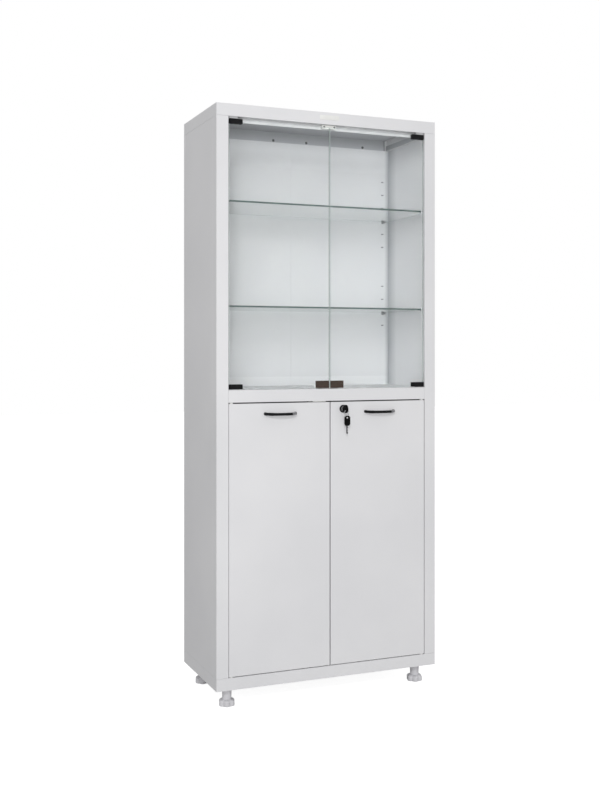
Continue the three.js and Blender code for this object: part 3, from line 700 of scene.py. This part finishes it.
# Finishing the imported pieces

def soften(node, width):
    """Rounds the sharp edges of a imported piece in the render, with the piece itself as it was."""
    weld = node.modifiers.new("weld", "WELD")
    weld.merge_threshold = WELD_GAP
    bevel = node.modifiers.new("soft_edges", "BEVEL")
    bevel.width = width
    bevel.segments = EDGE_STEPS
    bevel.limit_method = "ANGLE"
    bevel.angle_limit = EDGE_ANGLE
    bevel.use_clamp_overlap = True
    shade = node.modifiers.new("shading", "WEIGHTED_NORMAL")
    shade.keep_sharp = True


def finish_packed_pieces():
    widths = {"white_paint": FOLD_ROUND, "clear_glass": GLASS_ROUND}
    for part in frame["record"]["subparts"]:
        name = part["node"]
        slot = part["material_slot"]
        finish = FINISHES[slot]
        for start, own_finish in OWN_FINISHES.items():
            if name.startswith(start):
                finish = own_finish
        node = frame["nodes"][name]
        node.data.materials.clear()
        node.data.materials.append(finish)
        soften(node, widths.get(slot, MOULDED_ROUND))


# Shapes in mesh code

def add_piece(name, mesh, body, slot, *replaced, finish=None):
    """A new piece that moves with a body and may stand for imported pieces."""
    mesh.polygons.foreach_set("use_smooth", [True] * len(mesh.polygons))
    mesh.set_sharp_from_angle(angle=EDGE_ANGLE)
    mesh.materials.append(finish or FINISHES[slot])
    piece = new_object(name, mesh)
    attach(piece, body)
    if replaced:
        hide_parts(*replaced)
    return piece


def skinned(name, rings, hollow=False):
    """A closed skin over rings of points. A hollow one joins its last ring to its first."""
    shape = bmesh.new()
    loops = [[shape.verts.new(point) for point in ring] for ring in rings]
    pairs = list(zip(loops, loops[1:]))
    if hollow:
        pairs.append((loops[-1], loops[0]))
    for lower, upper in pairs:
        count = len(lower)
        for index in range(count):
            following = (index + 1) % count
            shape.faces.new((lower[index], lower[following], upper[following], upper[index]))
    if not hollow:
        shape.faces.new(loops[0])
        shape.faces.new(loops[-1])
    bmesh.ops.recalc_face_normals(shape, faces=shape.faces)
    mesh = bpy.data.meshes.new(name)
    shape.to_mesh(mesh)
    shape.free()
    return mesh


def angles_round(steps):
    return [2 * math.pi * step / steps for step in range(steps)]


def turned_rings(profile, place, steps):
    """Rings of a turned shape: radius and height pairs about the place's own Z axis."""
    rings = []
    for radius, height in profile:
        ring = []
        for angle in angles_round(steps):
            ring.append(place @ Vector((radius * math.cos(angle), radius * math.sin(angle), height)))
        rings.append(ring)
    return rings


def facing(direction, place):
    """A frame at a place whose Z axis runs along a direction."""
    turn = Vector(direction).to_track_quat("Z", "Y").to_matrix().to_4x4()
    return Matrix.Translation(place) @ turn


def arc_points(centre, radius, start, end, steps):
    points = []
    for step in range(steps + 1):
        angle = start + (end - start) * step / steps
        points.append((centre[0] + radius * math.cos(angle), centre[1] + radius * math.sin(angle)))
    return points


def rounded_rectangle(width, height, corner):
    across = width / 2 - corner
    up = height / 2 - corner
    points = []
    for index, (x, y) in enumerate([(1, 1), (-1, 1), (-1, -1), (1, -1)]):
        start = index * math.pi / 2
        points += arc_points((x * across, y * up), corner, start, start + math.pi / 2, CORNER_STEPS)
    return points


def circle(centre, radius):
    return arc_points(centre, radius, 0, 2 * math.pi, TURN_STEPS)[:-1]


def plate_mesh(name, outlines, thickness, rounding, place):
    """A plate with rounded edges about the place's XY plane. Outlines inside the first are holes."""
    curve = bpy.data.curves.new(name, "CURVE")
    curve.dimensions = "2D"
    curve.fill_mode = "BOTH"
    curve.extrude = thickness / 2 - rounding
    curve.bevel_depth = rounding
    curve.bevel_resolution = EDGE_STEPS
    curve.offset = -rounding
    for outline in outlines:
        spline = curve.splines.new("POLY")
        spline.points.add(len(outline) - 1)
        for point, (x, y) in zip(spline.points, outline):
            point.co = (x, y, 0.0, 1.0)
        spline.use_cyclic_u = True
    drawn = bpy.data.objects.new(name, curve)
    mesh = bpy.data.meshes.new_from_object(drawn)
    bpy.data.objects.remove(drawn)
    bpy.data.curves.remove(curve)
    shape = bmesh.new()
    shape.from_mesh(mesh)
    bmesh.ops.remove_doubles(shape, verts=shape.verts, dist=WELD_GAP / 10)
    bmesh.ops.transform(shape, matrix=place, verts=shape.verts)
    bmesh.ops.recalc_face_normals(shape, faces=shape.faces)
    shape.to_mesh(mesh)
    shape.free()
    return mesh


def box_centre(name):
    low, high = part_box(name)
    return (low + high) / 2


# Bow handles

def evenly_spaced(points, count):
    lengths = [0.0]
    for before, after in zip(points, points[1:]):
        lengths.append(lengths[-1] + (after - before).length)
    spaced = []
    index = 0
    for step in range(count + 1):
        wanted = lengths[-1] * step / count
        while index < len(points) - 2 and lengths[index + 1] < wanted:
            index += 1
        share = (wanted - lengths[index]) / (lengths[index + 1] - lengths[index])
        spaced.append(points[index].lerp(points[index + 1], share))
    return spaced


def bow_path(centre, half_span, reach):
    """Points along a handle's bow, from its left end on the door round to its right end."""
    dense = []
    for step in range(HANDLE_DENSE_STEPS + 1):
        angle = math.pi * step / HANDLE_DENSE_STEPS
        across = abs(math.cos(angle)) ** (2 / HANDLE_WIDE_POWER)
        out = abs(math.sin(angle)) ** (2 / HANDLE_DEEP_POWER)
        left_right = math.copysign(half_span * across, -math.cos(angle))
        dense.append(centre + Vector((left_right, -reach * out, -reach * out * math.tan(HANDLE_TILT))))
    return evenly_spaced(dense, HANDLE_STEPS)


def swept_rings(path, first, last, half_depth, half_height, girth):
    """Rounded rings along part of a bow. Girth gives each ring's size from its share of the part."""
    rings = []
    for index in range(first, last + 1):
        along = path[min(index + 1, len(path) - 1)] - path[max(index - 1, 0)]
        side = Vector((along.y, -along.x, 0.0)).normalized()
        size = girth((index - first) / (last - first))
        ring = []
        for angle in angles_round(GRIP_SIDES):
            across = math.copysign(abs(math.cos(angle)) ** (2 / GRIP_POWER), math.cos(angle))
            up = math.copysign(abs(math.sin(angle)) ** (2 / GRIP_POWER), math.sin(angle))
            offset = side * (across * half_depth * size) + Vector((0.0, 0.0, up * half_height * size))
            ring.append(path[index] + offset)
        rings.append(ring)
    return rings


def grip_girth(share):
    """A grip flares a little where it meets the door at either end."""
    from_end = min(share, 1.0 - share)
    flare = HANDLE_FLARE * max(0.0, 1.0 - from_end / HANDLE_END_SHARE) ** 2
    return 1.0 + flare


def sleeve_girth(share):
    """A sleeve is rounded off at both of its rims."""
    from_rim = min(share, 1.0 - share) / SLEEVE_ROUND
    return 1.0 + SLEEVE_RISE * (min(1.0, from_rim) ** 0.5 - 1.0)


def make_handle(side):
    """A bow of black plastic with a nickel sleeve round each end. The left sleeve is painted in shade,
    black as the grip, so only the right sleeve is bright.
    """
    names = [f"handle_{part}_{side}" for part in ("grip", "end_a", "end_b")]
    boxes = [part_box(name) for name in names]
    low = Vector([min(box[0][axis] for box in boxes) for axis in range(3)])
    high = Vector([max(box[1][axis] for box in boxes) for axis in range(3)])
    grip_low, grip_high = boxes[0]
    half_height = (grip_high.z - grip_low.z) / 2
    half_depth = half_height - HANDLE_SLIM
    centre = Vector(((low.x + high.x) / 2 + HANDLE_ASIDE[side], high.y, (low.z + high.z) / 2))
    half_span = (high.x - low.x - HANDLE_SHORTER) / 2 - half_depth
    path = bow_path(centre, half_span, high.y - low.y - half_depth)
    body = f"steel_door_{side}"
    grip = swept_rings(path, 0, HANDLE_STEPS, half_depth, half_height, grip_girth)
    add_piece(f"bow_grip_{side}", skinned("bow_grip", grip), body, "black_plastic", names[0])
    first = round(HANDLE_STEPS * SLEEVE_START)
    last = round(HANDLE_STEPS * SLEEVE_END)
    size = (half_depth + SLEEVE_PROUD, half_height + SLEEVE_PROUD)
    left = swept_rings(path, first, last, *size, sleeve_girth)
    right = swept_rings(path[::-1], first, last, *size, sleeve_girth)
    by_place = sorted(names[1:], key=lambda name: box_centre(name).x)
    # Painted shade: the left sleeve takes the grip's black plastic in place of nickel
    for name, rings, finish in zip(by_place, (left, right), (FINISHES["black_plastic"], POLISHED_NICKEL)):
        mesh = skinned("bow_end", rings)
        add_piece(name.replace("handle", "bow"), mesh, body, "chrome", name, finish=finish)


# Levelling feet

def foot_profile():
    """Radius, height and how far the petals show, from the floor up to the neck."""
    radius = FOOT_RADIUS
    points = [(radius - 4 * FOOT_EDGE, 0.0, 1.0), (radius - FOOT_EDGE, 0.0, 1.0)]
    for x, z in arc_points((radius - FOOT_EDGE, FOOT_EDGE), FOOT_EDGE, -math.pi / 2, 0, CORNER_STEPS):
        points.append((x, z, 1.0))
    for step in range(FOOT_FLARE_STEPS + 1):
        angle = math.pi / 2 * step / FOOT_FLARE_STEPS
        reach = FOOT_WAIST_RADIUS + (radius - FOOT_WAIST_RADIUS) * math.cos(angle)
        z = FOOT_SHOULDER + (FOOT_WAIST - FOOT_SHOULDER) * math.sin(angle)
        points.append((reach, z, math.cos(angle)))
    points.append((FOOT_NECK_RADIUS, FOOT_NECK_TOP - FOOT_EDGE / 2, 0.0))
    points.append((FOOT_NECK_RADIUS - FOOT_EDGE / 4, FOOT_NECK_TOP - FOOT_EDGE / 8, 0.0))
    points.append((FOOT_NECK_RADIUS - FOOT_EDGE / 2, FOOT_NECK_TOP, 0.0))
    return points


def foot_rings(centre):
    rings = []
    for radius, height, petals in foot_profile():
        ring = []
        for angle in angles_round(FOOT_STEPS):
            petal = abs(math.cos(FOOT_LOBES / 2 * (angle - FOOT_TURN)))
            reach = radius * (1.0 - FOOT_GROOVE * (1.0 - petal) * petals)
            ring.append((centre.x + reach * math.cos(angle), centre.y + reach * math.sin(angle), height))
        rings.append(ring)
    return rings


def stud_profile(bottom, top):
    """Rings that stand for the thread of a stud."""
    profile = [(STUD_RADIUS - STUD_CUT, bottom)]
    for turn in range(int((top - bottom) / STUD_PITCH)):
        start = bottom + turn * STUD_PITCH
        profile.append((STUD_RADIUS, start + STUD_PITCH / 2))
        profile.append((STUD_RADIUS - STUD_CUT, start + STUD_PITCH))
    return profile


def nut_profile(bottom, top):
    flat_top = top - NUT_GAP_ABOVE
    return [
        (FOOT_NUT_RADIUS - NUT_CHAMFER, bottom + NUT_GAP_BELOW),
        (FOOT_NUT_RADIUS, bottom + NUT_CHAMFER),
        (FOOT_NUT_RADIUS, flat_top - NUT_CHAMFER),
        (FOOT_NUT_RADIUS - NUT_CHAMFER, flat_top),
    ]


def make_foot(depth, side):
    """A foot with six petals, on its stud, under a nut."""
    node = f"foot_{depth}_{side}"
    low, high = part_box(node)
    centre = (low + high) / 2
    floor_place = Matrix.Translation((centre.x, centre.y, 0.0))
    tray_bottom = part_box("bottom_tray")[0].z
    add_piece(f"{node}_grip", skinned("foot_grip", foot_rings(centre)), node, "foot_plastic", node)
    stud = turned_rings(stud_profile(FOOT_NECK_TOP - FOOT_EDGE, high.z), floor_place, STUD_STEPS)
    add_piece(f"{node}_stud", skinned("foot_stud", stud), node, "zinc_steel")
    nut = turned_rings(nut_profile(FOOT_NECK_TOP, tray_bottom), floor_place, NUT_SIDES)
    add_piece(f"{node}_nut", skinned("foot_nut", nut), node, "zinc_steel")


# Lock and keys

def make_lock():
    """A black collar round a bright face, which leaves the plug free to turn."""
    low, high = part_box("lock_body")
    plug_low, plug_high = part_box("lock_plug")
    centre = (low + high) / 2
    place = facing(FRONT, (centre.x, low.y, centre.z))
    outer = (high.x - low.x) / 2
    bore = (plug_high.x - plug_low.x) / 2 + PLUG_GAP
    seat = -(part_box("steel_door_right")[0].y - low.y)
    back = low.y - high.y
    quarter = math.pi / 2
    rim_round = LOCK_ROUND * 2
    rim_centre = (outer - rim_round, -rim_round)
    lip_centre = (LOCK_COLLAR_INNER + LOCK_ROUND, -LOCK_ROUND)
    rim = arc_points(rim_centre, rim_round, 0, quarter, CORNER_STEPS)
    lip = arc_points(lip_centre, LOCK_ROUND, quarter, math.pi, CORNER_STEPS)
    collar = [(outer, seat), *rim, *lip, (LOCK_COLLAR_INNER, seat)]
    face = [
        (LOCK_COLLAR_INNER + LOCK_FACE_LAP, back),
        (LOCK_COLLAR_INNER + LOCK_FACE_LAP, -LOCK_FACE_SINK - LOCK_ROUND),
        (LOCK_COLLAR_INNER - LOCK_ROUND, -LOCK_FACE_SINK),
        (bore + LOCK_ROUND / 2, -LOCK_FACE_SINK),
        (bore, -LOCK_FACE_SINK - LOCK_ROUND / 2),
        (bore, back),
    ]
    body = "steel_door_right"
    collar_mesh = skinned("lock_collar", turned_rings(collar, place, TURN_STEPS), hollow=True)
    add_piece("lock_collar", collar_mesh, body, "black_plastic", finish=KEY_PLASTIC)
    face_mesh = skinned("lock_face", turned_rings(face, place, TURN_STEPS), hollow=True)
    add_piece("lock_face", face_mesh, body, "chrome", "lock_body", finish=SATIN_NICKEL)


def upright_across(place, turn=0.0):
    """A frame whose XY plane stands upright: X across the cabinet, Y up, Z towards the viewer."""
    stand = Matrix.Rotation(math.pi / 2, 4, "X")
    return Matrix.Translation(place) @ Matrix.Rotation(turn, 4, "Z") @ stand


def make_key():
    """The key in the lock: a moulded disc on edge, with its steel shank into the plug."""
    low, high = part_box("key")
    radius = (high.z - low.z) / 2
    centre = Vector(((low.x + high.x) / 2, low.y + radius, (low.z + high.z) / 2))
    ring = box_centre("key_ring")
    place = upright_across(centre, -math.pi / 2)
    hole = circle((centre.y - ring.y, 0.0), SPARE_HOLE_RADIUS)
    disc = circle((0.0, 0.0), radius)
    head = plate_mesh("key_head", [disc, hole], KEY_HEAD_THICKNESS, KEY_HEAD_ROUND, place)
    add_piece("key_head", head, "lock_plug", "black_plastic", "key", finish=KEY_PLASTIC)
    shank_start = low.y + 2 * radius - KEY_SHANK_LAP
    shank_length = high.y - shank_start
    shank_place = upright_across((centre.x, shank_start + shank_length / 2, centre.z), -math.pi / 2)
    outline = rounded_rectangle(shank_length, KEY_SHANK_WIDTH, KEY_SHANK_CORNER)
    shank = plate_mesh("key_shank", [outline], KEY_SHANK_THICKNESS, STEEL_EDGE, shank_place)
    add_piece("key_shank", shank, "lock_plug", "zinc_steel", finish=KEY_STEEL)


def make_key_ring():
    """A split ring: two turns of spring wire."""
    low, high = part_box("key_ring")
    centre = (low + high) / 2
    radius = (high.z - low.z) / 2 - 2 * RING_WIRE
    across = Vector((high.x - low.x, high.y - low.y, 0.0)).normalized()
    axis = Vector((-across.y, across.x, 0.0))
    rings = []
    count = RING_STEPS * RING_TURNS
    for step in range(count + 1):
        share = step / count
        angle = 2 * math.pi * RING_TURNS * share
        outward = across * math.cos(angle) + Vector((0.0, 0.0, math.sin(angle)))
        point = centre + outward * radius + axis * (RING_WIRE * RING_TURNS * (share - 0.5))
        ring = []
        for turn in angles_round(RING_WIRE_SIDES):
            ring.append(point + (outward * math.cos(turn) + axis * math.sin(turn)) * RING_WIRE)
        rings.append(ring)
    add_piece("split_ring", skinned("split_ring", rings), "key_fob", "chrome", "key_ring")


def blade_outline(width, length):
    """A key blade that hangs down from 0, with one straight edge and one cut edge."""
    half = width / 2
    points = [(-half, 0.0)]
    for across, along in BLADE_TIP:
        points.append((width * across, -length * along))
    for index, depth in enumerate(BLADE_CUTS):
        along = -length * (BLADE_FIRST_CUT - BLADE_CUT_PITCH * index)
        points.append((half - width * depth, along))
        points.append((half - width * depth, along + length * BLADE_CUT_LENGTH))
    points.append((half, -length * BLADE_SHOULDER))
    points.append((half, 0.0))
    return points


def make_spare_key():
    """The spare key on the ring: a moulded head with an eye, and a steel blade."""
    low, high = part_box("spare_key")
    middle = (low + high) / 2 + Vector((SPARE_ASIDE, 0.0, 0.0))
    head_centre = Vector((middle.x, middle.y, high.z - SPARE_HEAD_LENGTH / 2))
    head_place = upright_across(head_centre, SPARE_TURN)
    outline = rounded_rectangle(SPARE_HEAD_WIDTH, SPARE_HEAD_LENGTH, SPARE_HEAD_CORNER)
    eye = circle((0.0, SPARE_HEAD_LENGTH / 2 - SPARE_HOLE_DROP), SPARE_HOLE_RADIUS)
    head = plate_mesh("spare_head", [outline, eye], SPARE_THICKNESS, SPARE_HEAD_ROUND, head_place)
    add_piece("spare_key_head", head, "key_fob", "black_plastic", "spare_key", finish=KEY_PLASTIC)
    blade_top = high.z - SPARE_HEAD_LENGTH + SPARE_BLADE_LAP
    blade_place = upright_across((middle.x, middle.y, blade_top), SPARE_TURN)
    blade = blade_outline(SPARE_BLADE_WIDTH, blade_top - low.z)
    blade_piece = plate_mesh("spare_blade", [blade], SPARE_BLADE_THICKNESS, STEEL_EDGE, blade_place)
    add_piece("spare_key_blade", blade_piece, "key_fob", "zinc_steel", finish=KEY_STEEL)


# Small fasteners, trim and covers

def surface_at(node, start, direction):
    """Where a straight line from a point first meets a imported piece."""
    tree = BVHTree.FromObject(frame["nodes"][node], bpy.context.evaluated_depsgraph_get())
    return tree.ray_cast(Vector(start), Vector(direction))[0]


def screw_mesh(radius, place):
    """A low domed head with a cross recess."""
    dome = radius * SCREW_DOME
    rings = []
    for step in range(1, SCREW_RINGS + 1):
        share = step / SCREW_RINGS
        reach = radius * share
        ring = []
        for angle in angles_round(SCREW_STEPS):
            x = reach * math.cos(angle)
            y = reach * math.sin(angle)
            height = dome * math.sqrt(1.0 - SCREW_FALL * share * share)
            if min(abs(x), abs(y)) < radius * SCREW_CROSS and share < SCREW_CROSS_REACH:
                height -= dome * SCREW_CROSS_DEPTH
            ring.append(place @ Vector((x, y, height)))
        rings.append(ring)
    rings += turned_rings([(radius, -SCREW_SUNK)], place, SCREW_STEPS)
    return skinned("screw", rings)


def make_screw(name, place, direction, radius, body):
    """A blackened screw that rides on a body."""
    mesh = screw_mesh(radius, facing(direction, place))
    add_piece(name, mesh, body, "zinc_steel", finish=DARK_NICKEL)


def make_ceiling_screws():
    """The screws that hold the back wall's upper edge, seen inside under the roof."""
    for index, across in enumerate(CEILING_SCREWS):
        node = "back_panel_left" if across < 0 else "back_panel_right"
        place = surface_at(node, (across, 0.0, CEILING_SCREW_HEIGHT), REAR)
        make_screw(f"ceiling_screw_{index}", place, FRONT, SCREW_RADIUS, "case")


def make_stop_screws():
    """The two screws in the stop block under the top cap."""
    low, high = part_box("glass_stop")
    for index, across in enumerate(STOP_SCREWS):
        place = Vector((across, low.y, (low.z + high.z) / 2))
        make_screw(f"stop_screw_{index}", place, FRONT, STOP_SCREW_RADIUS, "case")


def rivet_mesh(radius, place):
    """A domed rivet head with the dimple of its drawn pin."""
    profile = [(radius, -SCREW_SUNK), (radius, RIVET_RIM)]
    profile += [(radius * across, radius * rise) for across, rise in RIVET_DOME]
    return skinned("rivet", turned_rings(profile, place, RIVET_STEPS))


def make_back_rivets():
    """Rivets through the rear flanges of the side panels."""
    for side, sign in SIDES.items():
        across = sign * (cad_high[0] - RIVET_INSET)
        for index in range(RIVET_COUNT):
            height = RIVET_BOTTOM + (RIVET_TOP - RIVET_BOTTOM) * index / (RIVET_COUNT - 1)
            mesh = rivet_mesh(RIVET_RADIUS, facing(REAR, (across, cad_high[1], height)))
            add_piece(f"rear_rivet_{side}_{index}", mesh, "case", "zinc_steel")


def make_bare_plate():
    """The bare plate on the fascia."""
    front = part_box("top_cap")[0].y
    place = upright_across((PLATE_CENTRE[0], front - PLATE_THICKNESS / 2 + SCREW_SUNK, PLATE_CENTRE[1]))
    outline = rounded_rectangle(*PLATE_SIZE, PLATE_CORNER)
    mesh = plate_mesh("bare_plate", [outline], PLATE_THICKNESS, PLATE_THICKNESS / 3, place)
    add_piece("bare_plate", mesh, "case", "white_plastic")


def wall_rear():
    """How far back the rear face of the back wall lies."""
    low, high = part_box("back_panel_left")
    return surface_at("back_panel_left", (low.x / 2, 1.0, high.z / 3), FRONT).y


def make_slot_covers():
    """Channels behind the back wall that close its slots from the rear, each with a dark liner inside: a
    sheet of painted shade, so the slots look dark from the front.
    """
    half = COVER_WIDTH / 2
    inner = half - COVER_SHEET
    floor = COVER_DEPTH - COVER_SHEET
    channel = [
        (-half, 0.0), (-half, COVER_DEPTH), (half, COVER_DEPTH), (half, 0.0),
        (inner, 0.0), (inner, floor), (-inner, floor), (-inner, 0.0),
    ]
    shade_liner = [(-inner, floor - COVER_SHEET), (inner, floor - COVER_SHEET), (inner, floor), (-inner, floor)]
    for side, sign in SIDES.items():
        across = sign * (cad_high[0] - COVER_INSET)
        place = Matrix.Translation((across, wall_rear(), (COVER_TOP + COVER_BOTTOM) / 2))
        cover_mesh = plate_mesh("cover", [channel], COVER_TOP - COVER_BOTTOM, COVER_EDGE, place)
        add_piece(f"slot_cover_{side}", cover_mesh, "case", "white_paint")
        # Painted shade: a dark sheet on the channel's inner floor, seen through the slots
        shade_liner_mesh = plate_mesh("shade_liner", [shade_liner], COVER_TOP - COVER_BOTTOM, COVER_EDGE, place)
        add_piece(f"slot_shade_liner_{side}", shade_liner_mesh, "case", "black_plastic", finish=DARK_GREY_PLASTIC)


def make_seam_strip():
    """The strip that closes the seam between the two halves of the back wall from the rear."""
    low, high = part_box("back_panel_left")
    outline = rounded_rectangle(SEAM_STRIP_WIDTH, SEAM_STRIP_THICKNESS, SEAM_STRIP_THICKNESS / 3)
    place = Matrix.Translation((0.0, high.y + SEAM_STRIP_THICKNESS / 2, (low.z + high.z) / 2))
    mesh = plate_mesh("seam_strip", [outline], SEAM_STRIP_LENGTH, COVER_EDGE, place)
    add_piece("seam_strip", mesh, "case", "white_paint")


def make_slot_blanks():
    """Thin coated blanks that close slots in the back wall, which looks plain there."""
    outline = rounded_rectangle(*BLANK_SIZE, BLANK_CORNER)
    front = WALL_FRONT - BLANK_THICKNESS / 2
    for side, sign in SIDES.items():
        for index in BLANK_SLOTS:
            place = upright_across((sign * BLANK_ACROSS, front, SLOT_FIRST + SLOT_PITCH * index))
            mesh = plate_mesh("slot_blank", [outline], BLANK_THICKNESS, BLANK_ROUND, place)
            add_piece(f"slot_blank_{side}_{index}", mesh, "case", "white_paint")


def make_rail_strip():
    """The light strip under the middle rail, seen in the gap over the left steel door."""
    left, right = RAIL_STRIP_ENDS
    front, rear = RAIL_STRIP_DEPTHS
    across = (left + right) / 2
    back = (front + rear) / 2
    top = surface_at("middle_shelf", (across, back, DOOR_GAP_BOTTOM), UP).z
    place = Matrix.Translation((across, back, top - RAIL_STRIP_THICKNESS / 2))
    outline = rounded_rectangle(right - left, rear - front, RAIL_STRIP_CORNER)
    mesh = plate_mesh("rail_strip", [outline], RAIL_STRIP_THICKNESS, STEEL_EDGE, place)
    add_piece("rail_strip", mesh, "case", "white_plastic")


# Glass edges, and the screws that hold the clips, the catch and the cam

def make_pane_edge(side):
    """The polished edge all round a glass leaf."""
    low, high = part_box(f"glass_leaf_{side}")
    centre = (low + high) / 2
    width = high.x - low.x
    height = high.z - low.z
    corner = PANE_BAND_CORNER
    outer = rounded_rectangle(width + 2 * PANE_BAND, height + 2 * PANE_BAND, corner + PANE_BAND)
    inner = rounded_rectangle(width, height, corner)
    thickness = high.y - low.y - PANE_BAND_SLIM
    mesh = plate_mesh("pane_edge", [outer, inner], thickness, PANE_BAND_ROUND, upright_across(centre))
    add_piece(f"pane_edge_{side}", mesh, f"glass_door_{side}", "clear_glass", finish=DOOR_EDGE_FINISH)


def make_shelf_edge(level):
    """The polished front edge of a glass shelf."""
    low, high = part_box(f"glass_shelf_{level}")
    place = upright_across(((low.x + high.x) / 2, low.y - PANE_BAND / 2, (low.z + high.z) / 2))
    width = high.x - low.x - 4 * PANE_BAND_CORNER
    outline = rounded_rectangle(width, high.z - low.z - PANE_BAND_SLIM, SHELF_BAND_CORNER)
    mesh = plate_mesh("shelf_edge", [outline], PANE_BAND, PANE_BAND_ROUND, place)
    add_piece(f"shelf_edge_{level}", mesh, "case", "clear_glass", finish=SHELF_EDGE_FINISH)


def make_clip_screws(end, side):
    """Two screws in the inner face of a glass clip."""
    low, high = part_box(f"glass_clip_{end}_{side}")
    leaf_low, leaf_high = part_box(f"glass_leaf_{side}")
    if end == "top":
        height = leaf_high.z + CLIP_COVER - CLIP_HALF_HEIGHT
    else:
        height = leaf_low.z - CLIP_COVER + CLIP_HALF_HEIGHT
    middle = (low.x + high.x) / 2
    for index, sign in enumerate(SIDES.values()):
        place = (middle + sign * CLIP_SCREW_REACH, high.y, height)
        name = f"clip_screw_{end}_{side}_{index}"
        make_screw(name, place, REAR, CLIP_SCREW_RADIUS, f"glass_door_{side}")


def make_catch():
    """Screws and steel poles of the catch behind the glass leaves."""
    low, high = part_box("glass_magnet")
    middle = (low + high) / 2
    for side, sign in SIDES.items():
        screw_place = (middle.x + sign * CATCH_SCREW_REACH, middle.y, high.z)
        make_screw(f"catch_screw_{side}", screw_place, UP, CATCH_SCREW_RADIUS, "case")
        for index, rise in enumerate((-CATCH_POLE_RISE, CATCH_POLE_RISE)):
            front = low.y - CATCH_POLE_PROUD + CATCH_POLE_THICKNESS / 2
            place = upright_across((middle.x + sign * CATCH_POLE_ACROSS, front, middle.z + rise))
            outline = rounded_rectangle(*CATCH_POLE_SIZE, STEEL_EDGE * 2)
            pole = plate_mesh("catch_pole", [outline], CATCH_POLE_THICKNESS, STEEL_EDGE, place)
            add_piece(f"catch_pole_{side}_{index}", pole, "case", "zinc_steel")


def make_cam_screw():
    """The screw that holds the cam on the lock's plug."""
    low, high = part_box("lock_plug")
    middle = (low + high) / 2
    place = (middle.x, high.y, middle.z)
    make_screw("cam_screw", place, REAR, CAM_SCREW_RADIUS, "lock_plug")


def make_new_pieces():
    for side in SIDES:
        make_handle(side)
        for depth in ("front", "rear"):
            make_foot(depth, side)
    make_lock()
    make_key()
    make_key_ring()
    make_spare_key()
    make_bare_plate()
    make_slot_covers()
    make_seam_strip()
    make_rail_strip()
    make_slot_blanks()
    make_ceiling_screws()
    make_stop_screws()
    make_back_rivets()
    for side in SIDES:
        make_pane_edge(side)
        for end in ("top", "bottom"):
            make_clip_screws(end, side)
    for level in ("upper", "lower"):
        make_shelf_edge(level)
    make_catch()
    make_cam_screw()


make_camera()
make_studio()
finish_packed_pieces()
make_new_pieces()
